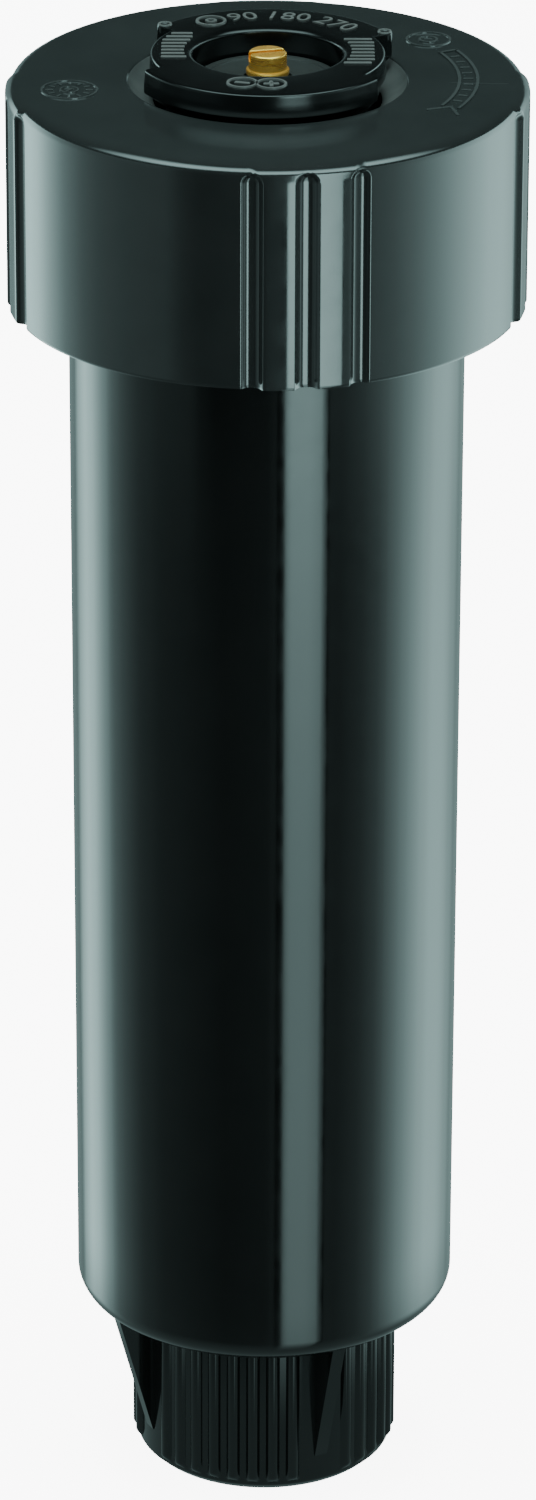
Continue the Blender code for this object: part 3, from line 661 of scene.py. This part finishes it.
SCALE_NUMBERS = (("90", 104.0), ("180", 79.0), ("270", 50.0))
NUMBER_SIZE = 3.5
SCALE_RING = (11.9, 122.0)    # radius and azimuth of the ring before the numbers
SIGN_RADIUS = 11.4
SIGNS = ((-104.0, (0.0,)), (-88.0, (0.0, 90.0)))    # minus and plus: azimuth, and angles of the bars
PAD_PITCH = 1.15              # from one rib of a finger pad to the next
PAD_RIB = 0.42                # width of a rib
KNOB_RADIUS = 14.5            # distance of the knobs from the axis
KNOB_AZIMUTHS = (141.8, 27.2)


def build_head_marks():
    """Arc scale, plus and minus signs, ribs of the finger pads and the notches' end knobs; the raised marks
    and the knobs' rims are painted light grey as a highlight.
    """
    base = RING_TOP - 0.05
    high = HEAD_TOP - base - 0.02
    marks = [raised_number(text, NUMBER_SIZE, 11.7, azimuth, base, high) for text, azimuth in SCALE_NUMBERS]
    marks += [ring_mark(*SCALE_RING, outer, inner, base, high) for outer, inner in ((1.75, 1.35), (0.7, 0.3))]
    for azimuth, bars in SIGNS:
        marks.append(ring_mark(SIGN_RADIUS, azimuth, 1.75, 1.4, base, high))
        middle = polar(SIGN_RADIUS, azimuth, 0.0)
        marks += [bar_mark(middle, 1.7, 0.4, azimuth + 90.0 + bar, base, high) for bar in bars]
    finish_piece("head_scale_marks", joined(marks), PAINTED_MARK_HIGHLIGHT, "arc_collar")
    ribs = []
    for side, middle in ((-1.0, 1.7), (1.0, -0.2)):
        for k in range(8):
            y = middle + PAD_PITCH * (k - 3.5)
            start = max(8.3, math.sqrt(9.2 ** 2 - y * y))
            end = min(11.7, math.sqrt(12.1 ** 2 - y * y))
            ribs.append(bar_mark((side * (start + end) / 2.0, y), end - start, PAD_RIB, 0.0, base, high))
    finish_piece("finger_pad_ribs", joined(ribs), PAINTED_MARK_HIGHLIGHT, "arc_collar")
    knobs = []
    rim_highlights = []
    for azimuth in KNOB_AZIMUTHS:
        outline = [(0.45, 171.0), (0.82, 170.6), (0.85, 172.3), (0.75, 172.45), (0.55, 172.45), (0.45, 172.3)]
        knobs.append(placed(turned(outline, 32), 0.0, polar(KNOB_RADIUS, azimuth, 0.0)))
        # A thin light grey ring on each knob's top: painted highlight of the knob's rim.
        rim_highlights.append(ring_mark(KNOB_RADIUS, azimuth, 0.8, 0.52, 172.42, 0.14))
    finish_piece("notch_end_knobs", joined(knobs), HEAD, "arc_collar")
    finish_piece("notch_end_painted_rim_highlights", joined(rim_highlights), PAINTED_MARK_HIGHLIGHT, "arc_collar")


CLOCK = (22.1, -169.0)        # radius and azimuth of the date clock
CAP_RING = (22.4, 37.0)       # and of the ring at the arrow's start
ARROW_TIP = -28.2


def build_cap_marks():
    """Mould date clock, turning arrow with ticks and a parting line on the cap's top, in a lighter grey that
    paints their highlight.
    """
    base = CAP_TOP - 0.05
    high = 0.2
    clock = polar(*CLOCK, 0.0)
    marks = [ring_mark(*CLOCK, outer, inner, base, high) for outer, inner in ((3.2, 2.9), (1.1, 0.85))]
    for hour in range(12):
        x, y, _ = polar(2.2, 30.0 * hour, 0.0)
        marks.append(bar_mark((clock[0] + x, clock[1] + y), 0.8, 0.26, 30.0 * hour, base, high))
    marks.append(bar_mark(clock, 1.2, 0.24, 55.0, base, high))
    marks += [ring_mark(*CAP_RING, outer, inner, base, high) for outer, inner in ((2.6, 2.25), (1.15, 0.75))]
    band = [(low, low + 0.35, base, base + high, -0.5, 25.5) for low in (22.9, 20.9)]
    marks.append(sectors(band, steps=40))
    marks.append(sectors([(20.85, 23.3, base, base + high, 25.0, 0.45)]))
    for azimuth in range(20, -25, -5):
        marks.append(bar_mark(polar(22.05, azimuth, 0.0), 1.1, 0.3, azimuth, base, high))
    for side in (-1.0, 1.0):
        barb = polar(22.07 + side * 0.95, ARROW_TIP, 0.0)
        marks.append(bar_mark(barb, 2.9, 0.38, ARROW_TIP + 90.0 + side * 42.0, base, high))
    marks.append(bar_mark(polar(23.2, -3.4, 0.0), 6.4, 0.14, -3.4, base, 0.08))
    finish_piece("cap_top_marks", joined(marks), PAINTED_CAP_RELIEF_HIGHLIGHT, "cap")


def build_hub():
    """Grey plate at the bottom of the head's recess, and its stalk."""
    plate_low = 168.1
    bore = 1.9
    outline = [(bore, HUB_LOW), (STALK_RADIUS, HUB_LOW), (STALK_RADIUS, plate_low), (7.9, plate_low)]
    outline += [(7.9, HUB_TOP - 0.2), (7.7, HUB_TOP), (7.0, HUB_TOP), (6.85, HUB_TOP - 0.15)]
    outline += [(3.4, HUB_TOP - 0.15), (3.25, HUB_TOP), (2.75, HUB_TOP), (2.75, 167.4), (bore, 167.4)]
    finish_piece("hub_plate", turned(outline), HUB, "riser", "nozzle_hub")


SLOT_AZIMUTH = 13.5


def build_screw():
    """Slotted brass screw with a flange and a groove for its clip."""
    outline = [(0.0, SCREW_TOP), (1.75, SCREW_TOP)]
    outline += arc((1.75, SCREW_TOP - 0.35), 0.35, 90.0, 0.0, 5)
    outline += [(2.1, 170.75), (2.12, 170.5), (2.35, 170.38), (2.4, 170.25), (2.4, 169.9), (2.3, 169.75)]
    outline += [(SCREW_SHAFT, 169.75), (SCREW_SHAFT, 157.6), (1.1, 157.6), (1.1, 156.6), (SCREW_SHAFT, 156.6)]
    outline += [(SCREW_SHAFT, SCREW_LOW + 0.4), (1.1, SCREW_LOW), (0.0, SCREW_LOW)]
    slot = bmesh.new()
    section = ((-0.42, -1.1), (0.42, -1.1), (0.42, -0.12), (0.6, 0.3), (-0.6, 0.3), (-0.42, -0.12))
    loft(slot, [[(side, across, SCREW_TOP + height) for across, height in section] for side in (-3.5, 3.5)])
    slot = placed(close_up(slot), SLOT_AZIMUTH, (0.0, 0.0, 0.0))
    mesh = combine(turned(outline, TINY), [("DIFFERENCE", slot)])
    finish_piece("brass_screw", mesh, BRASS, "screw", "adjusting_screw")


build_case()
build_cap()
build_head()
build_head_marks()
build_cap_marks()
build_hub()
build_screw()


# -------- inner pieces, finer than their CAD solids

def build_spring():
    """Open-coiled wire with a close turn at each end; the real spring closes up as the riser rises."""
    gauge = 0.75
    coil = 12.2
    turns = 11
    close_pitch = 1.8
    per_turn = 40
    low = low_of("retract_spring") + gauge
    high = top_of("retract_spring") - gauge
    open_pitch = (high - low - 2.0 * close_pitch) / (turns - 2.0)
    mesh = bmesh.new()
    rows = []
    for step in range(turns * per_turn + 1):
        done = step / per_turn
        middle = min(max(done - 1.0, 0.0), turns - 2.0)
        centre = low + close_pitch * (done - middle) + open_pitch * middle
        rows.append([polar(r, FULL_TURN * done, z) for r, z in wire(coil, centre, gauge, 12)])
    loft(mesh, rows)
    close_up(mesh)
    obj = finish_piece("return_spring", mesh, STEEL, "seal_carrier", "retract_spring")
    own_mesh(obj)


RATCHET_LOW = 27.3
RATCHET_TOP = 30.6
FLANGE_LOW = 32.3
FLANGE_TOP = 35.0
FLANGE_RADIUS = 15.6
TEETH = 20
TOOTH_HEIGHT = 0.7
MESH_RADIUS = 6.85
MESH_WIRE = 0.11              # radius of the strainer's threads


def ratchet_teeth(root, tip):
    """Ring of saw teeth between two heights, each with one steep and one sloping flank."""
    mesh = bmesh.new()
    pitch = FULL_TURN / TEETH
    for tooth in range(TEETH):
        start = pitch * (tooth + 0.13)
        rows = []
        for radius in (12.2, 15.0):
            corners = ((start, root), (start + 0.8 * pitch, root), (start + 0.15 * pitch, tip), (start, tip))
            rows.append([polar(radius, azimuth, height) for azimuth, height in corners])
        loft(mesh, rows)
    return close_up(mesh)


def build_riser():
    """Riser tube with a rounded mouth, bottom flange and ratchet teeth."""
    outer = STEM_RADIUS
    flange = FLANGE_RADIUS - 0.25
    outline = [(STEM_BORE, STEM_LOW), (outer - 0.4, STEM_LOW), (outer, STEM_LOW + 0.4), (outer, FLANGE_LOW)]
    outline += arc((flange, FLANGE_LOW + 0.25), 0.25, -90.0, 0.0, 4)
    outline += arc((flange, FLANGE_TOP - 0.25), 0.25, 0.0, 90.0, 4)
    outline += [(outer + 0.4, FLANGE_TOP), (outer + 0.1, FLANGE_TOP + 0.1), (outer, FLANGE_TOP + 0.4)]
    outline += [(outer, 60.0), (outer, 90.0), (outer, 120.0), (outer, STEM_TOP - 0.4)]
    outline += arc((outer - 0.25, STEM_TOP - 0.25), 0.25, 0.0, 90.0, 4) + [(STEM_BORE + 0.2, STEM_TOP)]
    outline += [(STEM_BORE, STEM_TOP - 0.2)]
    teeth = ratchet_teeth(FLANGE_LOW + 0.3, FLANGE_LOW - TOOTH_HEIGHT)
    mesh = combine(turned(outline), [("UNION", teeth)])
    finish_piece("riser_tube", mesh, RISER, "riser", "riser_stem", sharp=32.0)


def build_ratchet_ring():
    """Toothed ring with notches for the case's keys."""
    outer = BODY_RADIUS - 2.5
    inner = STEM_RADIUS + 0.4
    outline = [(inner, RATCHET_LOW + 0.2), (inner + 0.2, RATCHET_LOW), (outer - 0.2, RATCHET_LOW)]
    outline += [(outer, RATCHET_LOW + 0.2), (outer, RATCHET_TOP - 0.2), (outer - 0.2, RATCHET_TOP)]
    outline += [(inner + 0.2, RATCHET_TOP), (inner, RATCHET_TOP - 0.2)]
    inside = KEY_RADIUS - 0.5
    notches = [(inside, outer + 1.0, RATCHET_LOW - 1.0, RATCHET_TOP + 1.0, az, 5.2) for az in KEY_AZIMUTHS]
    teeth = ratchet_teeth(RATCHET_TOP - 0.3, RATCHET_TOP + TOOTH_HEIGHT)
    mesh = combine(turned(outline), [("DIFFERENCE", sectors(notches)), ("UNION", teeth)])
    finish_piece("toothed_ring", mesh, ACETAL, "ratchet", "ratchet_ring", sharp=32.0)


def build_seals():
    """Turned rings: retainer, wiper, gaskets, check seal, washer and snap-in holder."""
    low = RETAINER_LOW
    outline = [(10.95, low), (21.1, low), (21.7, low + 0.6), (21.7, RIM + GAP), (23.85, RIM + GAP)]
    outline += [(24.0, RIM + 0.45), (24.0, RIM + 1.25), (23.85, RIM + 1.4), (20.55, RIM + 1.4)]
    outline += [(20.4, RIM + 1.25), (20.4, low + 1.9), (20.1, low + 1.6), (10.95, low + 1.6)]
    outline += [(10.8, low + 1.45), (10.8, low + 0.15)]
    finish_piece("retainer_cup", turned(outline), ACETAL, "seal_carrier", "seal_retainer")
    lip = STEM_RADIUS + 0.35
    low = RETAINER_LOW + 1.9
    outline = [(lip, 164.5), (lip + 0.1, 164.62), (lip + 0.9, 164.68), (lip + 1.3, 164.5), (12.6, 163.75)]
    outline += [(13.4, 163.4), (17.3, 163.4), (17.75, 163.6), (18.4, 165.45), (18.8, 165.78), (23.6, 165.8)]
    outline += [(23.8, 165.6), (23.8, RIM + 1.9), (23.6, RIM + 1.7), (20.1, RIM + 1.7), (20.1, low + 0.2)]
    outline += [(19.9, low), (12.6, low), (lip + 0.4, low + 0.1), (lip, low + 0.5), (lip, low + 0.8)]
    outline += [(lip + 0.75, 160.8), (lip + 1.2, 161.5), (lip + 1.3, 162.2), (lip + 1.15, 163.1)]
    outline += [(lip + 0.5, 164.0)]
    finish_piece("wiper", turned(outline), RUBBER, "seal_carrier", "wiper_seal")
    finish_piece("rim_ring", turned(wire(23.1, RIM - 0.25, 0.4)), RUBBER, "case", "rim_o_ring")
    outline = [(9.2, 23.8), (9.4, 23.4), (9.8, 23.22), (12.0, 23.22), (12.4, 23.4), (12.6, 23.8)]
    outline += [(12.6, 25.0), (9.2, 25.0)]
    finish_piece("check_seal", turned(outline), RUBBER, "riser", "check_valve_seal")
    outline = [(10.5, 35.35), (10.6, 35.3), (14.1, 35.3), (14.2, 35.35), (14.2, 35.85), (14.1, 35.9)]
    outline += [(10.6, 35.9), (10.5, 35.85)]
    finish_piece("thrust_washer", turned(outline), STEEL, "riser", "spring_washer")
    outline = [(7.0, 25.5), (7.2, 25.3), (12.9, 25.3), (12.9, 24.0), (13.3, 24.0), (13.5, 24.2), (13.5, 26.7)]
    outline += [(13.3, 26.9), (7.9, 26.9), (7.9, 33.7), (7.7, 34.2), (7.0, 34.6)]
    finish_piece("snap_cup", turned(outline), ACETAL, "riser", "seal_holder")
    outline = [(8.25, 161.8), (9.75, 161.8), (9.8, 161.85), (9.8, 162.45), (9.75, 162.5), (8.25, 162.5)]
    outline += [(8.2, 162.45), (8.2, 161.85)]
    finish_piece("flat_gasket", turned(outline), RUBBER, "riser", "nozzle_gasket")


def build_nozzle_base():
    """Nozzle body: flange on the riser, throttle seat, three spokes and the arc stop."""
    top = BASE_TOP
    bore = 6.5
    seat = 151.0
    outline = [(bore, top), (9.75, top), (9.93, top - 0.07), (STEM_RADIUS, top - 0.25), (STEM_RADIUS, 163.0)]
    outline += [(9.85, 162.8), (7.9, 162.8), (7.9, BASE_LOW + 0.3), (7.6, BASE_LOW), (bore, BASE_LOW)]
    outline += [(bore, seat), (3.5, seat), (3.3, seat + 0.2), (3.3, seat + 1.2), (3.5, seat + 1.4)]
    outline += [(bore, seat + 1.4)]
    spokes = [(STALK_RADIUS + GAP, bore + 0.4, 155.0, 161.0, az, 9.0) for az in (90.0, 210.0, 330.0)]
    stop = [(7.4, 8.6, top - 0.4, top + 1.0, -8.0, STOP_HALF)]
    mesh = combine(turned(outline), [("UNION", sectors(spokes)), ("UNION", sectors(stop))])
    finish_piece("nozzle_body", mesh, HEAD, "riser", "nozzle_base", sharp=32.0)


def build_filter():
    """Basket strainer: six ribs and four hoops round a fine mesh."""
    outer = 7.3
    top = top_of("filter_screen")
    low = low_of("filter_screen")
    outline = [(0.0, low), (outer - 0.8, low), (outer - 0.24, low + 0.24), (outer, low + 0.8)]
    outline += [(outer, top - 2.0), (7.9, top - 2.0), (7.9, top - 0.2), (7.7, top), (6.4, top)]
    outline += [(6.4, low + 1.2), (0.0, low + 1.2)]
    windows = []
    for row in range(3):
        start = low + 3.0 + 12.0 * row
        windows += [(5.9, 7.8, start, start + 10.4, 60.0 * column + 30.0, 19.0) for column in range(6)]
    mesh = combine(turned(outline, TINY), [("DIFFERENCE", sectors(windows))])
    finish_piece("strainer_frame", mesh, SCREEN, "riser", "filter_screen", sharp=32.0)
    hoops = [turned(wire(MESH_RADIUS, low + 2.6 + 0.82 * level, MESH_WIRE, 6), 48) for level in range(44)]
    threads = joined(hoops)
    for azimuth in even_azimuths(54):
        rows = []
        for height in (low + 2.4, low + 38.2):
            x, y, _ = polar(MESH_RADIUS, azimuth, height)
            round_section = [polar(MESH_WIRE, 60.0 * k, height) for k in range(6)]
            rows.append([(x + across, y + along, z) for across, along, z in round_section])
        loft(threads, rows)
    finish_piece("strainer_mesh", close_up(threads), SCREEN, "riser")


build_spring()
build_riser()
build_ratchet_ring()
build_seals()
build_nozzle_base()
build_filter()

PLAIN = {"screw_o_ring": RUBBER, "arc_ring_seal": RUBBER, "screw_clip": STEEL, "throttle_nut": ACETAL}
for node_name, finish in PLAIN.items():
    node_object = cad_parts[node_name]
    node_object.data.materials.clear()
    node_object.data.materials.append(finish)


# -------- stage

SKY_TINT = (0.67, 1.0, 0.985)
SKY_LIGHT = (0.94, 1.0, 0.995)
SURROUND_RADIUS = 1.8
WALL_LOW = -62.0              # elevations of the surround's edges
WALL_HIGH = 15.0
SURROUND_PEAK = 6.5
# Brightness of the surround by azimuth: 0 is the front, positive is towards +X.
LOW_LIGHT = (
    (-90, 0.75), (-80, 0.42), (-65, 0.24), (-45, 0.16), (-25, 0.09), (0, 0.12), (9, 0.24),
    (44, 0.22), (58, 0.42), (69, 0.80), (81, 1.9), (94, 3.3), (105, 4.2), (116, 4.2),
    (128, 3.0), (140, 1.5), (153, 0.6), (180, 0.25), (210, 0.5), (219, 2.2), (228, 4.2),
    (237, 4.6), (247, 2.9), (258, 1.3), (270, 0.75),
)
HIGH_LIGHT = (
    (-90, 0.82), (-80, 0.55), (-65, 0.40), (-45, 0.33), (-38, 0.12), (-30, 0.03), (0, 0.09),
    (9, 0.25), (44, 0.44), (58, 0.80), (69, 1.3), (81, 2.1), (94, 3.1), (105, 3.8),
    (116, 4.0), (128, 3.2), (140, 1.85), (153, 0.72), (180, 0.28), (210, 0.54), (219, 2.4),
    (228, 4.5), (237, 4.6), (247, 2.9), (258, 1.5), (270, 0.82),
)
WINDOW_LIGHT = ((0, 0.0), (9.8, 0.0), (10.8, 0.55), (12.3, 0.85), (15, 1.0), (25, 1.0),
                (33, 0.80), (34.5, 0.0), (40, 0.0))
# How these change with elevation, in degrees; the bottom of the range is the floor in front of the softboxes.
HIGH_SHARE = ((WALL_LOW, 0.0), (-18.5, 0.0), (-16.5, 1.0), (WALL_HIGH, 1.0))
WINDOW_FALL = (
    (WALL_LOW, 2.2), (-28, 2.8), (-25, 3.15), (-22.5, 3.2), (-21, 3.45), (-19.5, 3.9), (-18.3, 4.4),
    (-17.4, 4.9), (-16.6, 5.7), (-15, 6.0), (WALL_HIGH, 6.0),
)
WINDOW_PEAK = 6.0
# The softbox above the front, which fades towards its edges.
FRONT_LIGHT = ((-90, 0.0), (-74, 0.6), (-50, 1.0), (50, 1.0), (74, 0.6), (90, 0.0), (270, 0.0))
FRONT_FALL = ((26, 0.0), (29, 3.0), (34, 6.0), (48, 6.0), (60, 1.0))
FRONT_PEAK = 6.0
FLOOR_GLOW = 8.0
OVERHEAD_SIZE = 0.7
OVERHEAD_HEIGHT = 1.4
OVERHEAD_WATTS = 25.0
SHADE_RADIUS = 0.08           # the dim patch of floor, in metres
SHADE_FADE = (0.030, 0.072)   # from full strength to nothing
SHADE_GLOW = 0.35
CAMERA_LENS = 178.86
CAMERA_DOWN = 23.917          # degrees below the horizontal
CAMERA_DISTANCE = 0.85116     # metres, as is the shift
CAMERA_SHIFT = 0.00026
CAMERA_ROLL = 0.178           # degrees
AIM_BELOW_TOP = 80.676        # millimetres below the cap's top


def emission_material(name, strength):
    """Bare emission material; returns the material, its tree, object coordinates and emission node."""
    material = bpy.data.materials.new(name)
    material.use_nodes = True
    material.cycles.emission_sampling = "NONE"
    tree = material.node_tree
    tree.nodes.clear()
    light = tree.nodes.new("ShaderNodeEmission")
    light.inputs["Color"].default_value = (*SKY_TINT, 1.0)
    light.inputs["Strength"].default_value = strength
    output = tree.nodes.new("ShaderNodeOutputMaterial")
    tree.links.new(light.outputs["Emission"], output.inputs["Surface"])
    place = tree.nodes.new("ShaderNodeTexCoord").outputs["Object"]
    return material, tree, place, light


def ramp_node(tree, source, stops, colour=(1.0, 1.0, 1.0)):
    """Colour ramp through (position, value) stops."""
    node = tree.nodes.new("ShaderNodeValToRGB")
    elements = node.color_ramp.elements
    while len(elements) > 1:
        elements.remove(elements[-1])
    for index, (position, value) in enumerate(stops):
        stop = elements[0] if index == 0 else elements.new(position)
        stop.position = position
        stop.color = tuple(value * part for part in colour) + (1.0,)
    tree.links.new(source, node.inputs["Fac"])
    return node.outputs["Color"]


def ranged(tree, value, low, high):
    """Node that maps a value from low-high to 0-1."""
    node = tree.nodes.new("ShaderNodeMapRange")
    node.inputs["From Min"].default_value = low
    node.inputs["From Max"].default_value = high
    tree.links.new(value, node.inputs["Value"])
    return node


def by_azimuth(tree, place, lights, peak):
    """Brightness ramp round the surround."""
    turn = tree.nodes.new("ShaderNodeTexGradient")
    turn.gradient_type = "RADIAL"
    tree.links.new(place, turn.inputs["Vector"])
    stops = [((azimuth + 90.0) / FULL_TURN, value / peak) for azimuth, value in lights]
    return ramp_node(tree, turn.outputs["Color"], stops, SKY_TINT)


def by_elevation(tree, place, falls, peak):
    """Brightness ramp over the height of the surround."""
    heights = [(SURROUND_RADIUS * math.sin(math.radians(degrees)), value / peak) for degrees, value in falls]
    low = heights[0][0]
    span = heights[-1][0] - low
    split = tree.nodes.new("ShaderNodeSeparateXYZ")
    tree.links.new(place, split.inputs["Vector"])
    rise = ranged(tree, split.outputs["Z"], low, low + span)
    stops = [((height - low) / span, value) for height, value in heights]
    return ramp_node(tree, rise.outputs["Result"], stops)


def mixed(tree, first, second, factor=1.0, kind="MULTIPLY"):
    """Mix two colours; the factor is a number or a node's output."""
    node = tree.nodes.new("ShaderNodeMix")
    node.data_type = "RGBA"
    node.blend_type = kind
    if isinstance(factor, float):
        node.inputs["Factor"].default_value = factor
    else:
        tree.links.new(factor, node.inputs["Factor"])
    tree.links.new(first, node.inputs["A"])
    tree.links.new(second, node.inputs["B"])
    return node.outputs["Result"]


def surround_material():
    """Glow that changes with azimuth, from one profile below the horizon to another above it."""
    material, tree, place, light = emission_material("surround_glow", SURROUND_PEAK)
    low = by_azimuth(tree, place, LOW_LIGHT, SURROUND_PEAK)
    high = by_azimuth(tree, place, HIGH_LIGHT, SURROUND_PEAK)
    share = by_elevation(tree, place, HIGH_SHARE, 1.0)
    tree.links.new(mixed(tree, low, high, share, "MIX"), light.inputs["Color"])
    return material


def box_material(name, lights, falls, peak):
    """Glow of a softbox: its share by azimuth times its strength by elevation."""
    material, tree, place, light = emission_material(name, peak)
    around = by_azimuth(tree, place, lights, 1.0)
    upward = by_elevation(tree, place, falls, peak)
    tree.links.new(mixed(tree, around, upward), light.inputs["Color"])
    return material


def reflected_only(obj):
    """Keep a softbox out of everything but reflections."""
    obj.visible_camera = False
    obj.visible_diffuse = False
    obj.visible_shadow = False
    obj.visible_transmission = False


def dome_band(name, material, low, high, azimuths, distance=SURROUND_RADIUS):
    """Part of a dome round the object, between two elevations and over some azimuths."""
    mesh = bmesh.new()
    rows = []
    for step in range(7):
        elevation = math.radians(low + (high - low) * step / 6.0)
        flat = distance * math.cos(elevation)
        rise = distance * math.sin(elevation)
        rows.append([mesh.verts.new(polar(flat, azimuth - 90.0, rise)) for azimuth in azimuths])
    for lower, upper in zip(rows, rows[1:]):
        for k in range(len(lower) - 1):
            mesh.faces.new((lower[k], lower[k + 1], upper[k + 1], upper[k]))
    band = as_object(name, mesh)
    band.data.materials.append(material)
    reflected_only(band)


def let_through(tree, share, surface):
    """Mix a material's surface with a clear one; a share of 1 is all clear."""
    clear = tree.nodes.new("ShaderNodeBsdfTransparent")
    both = tree.nodes.new("ShaderNodeMixShader")
    tree.links.new(share, both.inputs["Fac"])
    tree.links.new(surface, both.inputs[1])
    tree.links.new(clear.outputs["BSDF"], both.inputs[2])
    tree.links.new(both.outputs["Shader"], tree.nodes["Material Output"].inputs["Surface"])


def build_floor():
    """Pale glowing floor, which can be seen through from below."""
    bpy.ops.mesh.primitive_plane_add(size=12.0, location=(0.0, 0.0, -0.0002))
    floor = bpy.context.object
    floor.name = "floor"
    paper = Nodes("pale_paper")
    shader = paper.shader.inputs
    shader["Roughness"].default_value = 0.9
    shader["Specular IOR Level"].default_value = 0.1
    shader["Emission Color"].default_value = (1.0, 1.0, 1.0, 1.0)
    shader["Emission Strength"].default_value = FLOOR_GLOW
    paper.link(paper.two_tone(paper.noise(3.0), (0.86, 0.86, 0.86), (0.88, 0.88, 0.88)), shader["Base Color"])
    paper.material.cycles.emission_sampling = "NONE"
    backside = paper.add("ShaderNodeNewGeometry").outputs["Backfacing"]
    let_through(paper.tree, backside, paper.shader.outputs["BSDF"])
    floor.data.materials.append(paper.material)
    floor.visible_glossy = False
    floor.visible_diffuse = False


def build_world():
    """Grey surroundings that look almost black in reflections."""
    world = bpy.data.worlds.new("studio")
    bpy.context.scene.world = world
    world.use_nodes = True
    tree = world.node_tree
    background = tree.nodes["Background"]
    path = tree.nodes.new("ShaderNodeLightPath")
    mix = tree.nodes.new("ShaderNodeMix")
    mix.data_type = "RGBA"
    mix.inputs["A"].default_value = (0.6, 0.6, 0.6, 1.0)
    mix.inputs["B"].default_value = (0.022, 0.033, 0.032, 1.0)
    tree.links.new(path.outputs["Is Glossy Ray"], mix.inputs["Factor"])
    tree.links.new(mix.outputs["Result"], background.inputs["Color"])


def build_softboxes():
    """Surround, window and front softbox, seen only as reflections."""
    full_circle = [5.0 * k for k in range(73)]
    dome_band("surround", surround_material(), WALL_LOW, WALL_HIGH, full_circle)
    window = [6.0 + 2.4 * k for k in range(14)]
    window_glow = box_material("window_glow", WINDOW_LIGHT, WINDOW_FALL, WINDOW_PEAK)
    dome_band("window_box", window_glow, WALL_LOW, WALL_HIGH, window, SURROUND_RADIUS - 0.05)
    front = [-90.0 + 5.0 * k for k in range(37)]
    front_glow = box_material("front_glow", FRONT_LIGHT, FRONT_FALL, FRONT_PEAK)
    dome_band("front_box", front_glow, FRONT_FALL[0][0], FRONT_FALL[-1][0], front)


def build_overhead():
    """Soft light straight above, which only diffuse surfaces pick up."""
    data = bpy.data.lights.new("overhead", "AREA")
    data.shape = "DISK"
    data.size = OVERHEAD_SIZE
    data.energy = OVERHEAD_WATTS
    data.color = SKY_LIGHT
    light = bpy.data.objects.new("overhead", data)
    light.location = (0.0, 0.0, OVERHEAD_HEIGHT)
    light.visible_camera = False
    light.visible_glossy = False
    bpy.context.scene.collection.objects.link(light)


def build_floor_shade():
    """Dim patch of floor round the foot, seen only in reflections, where the object keeps the light off."""
    mesh = bmesh.new()
    mesh.faces.new([mesh.verts.new(polar(SHADE_RADIUS, azimuth, -0.0005)) for azimuth in even_azimuths(72)])
    patch = as_object("floor_shade", mesh)
    material, tree, place, light = emission_material("floor_shade_glow", SHADE_GLOW)
    length = tree.nodes.new("ShaderNodeVectorMath")
    length.operation = "LENGTH"
    tree.links.new(place, length.inputs[0])
    share = ranged(tree, length.outputs["Value"], *SHADE_FADE)
    share.interpolation_type = "SMOOTHSTEP"
    let_through(tree, share.outputs["Result"], light.outputs["Emission"])
    patch.data.materials.append(material)
    reflected_only(patch)


def build_camera():
    """Camera above the front, a long way off, turned a little about its own axis."""
    data = bpy.data.cameras.new("camera")
    data.lens = CAMERA_LENS
    data.sensor_width = 36.0
    data.clip_start = 0.01
    camera = bpy.data.objects.new("camera", data)
    bpy.context.scene.collection.objects.link(camera)
    down = math.radians(CAMERA_DOWN)
    look_at = Vector((0.0, 0.0, (CAP_TOP - AIM_BELOW_TOP) * MM))
    back = Vector((0.0, -math.cos(down), math.sin(down)))
    camera.location = look_at + back * CAMERA_DISTANCE + Vector((CAMERA_SHIFT, 0.0, 0.0))
    camera.rotation_euler = (math.radians(90.0) - down, 0.0, 0.0)
    camera.rotation_euler.rotate_axis("Z", math.radians(CAMERA_ROLL))
    bpy.context.scene.camera = camera


build_floor()
build_world()
build_softboxes()
build_overhead()
build_floor_shade()
build_camera()
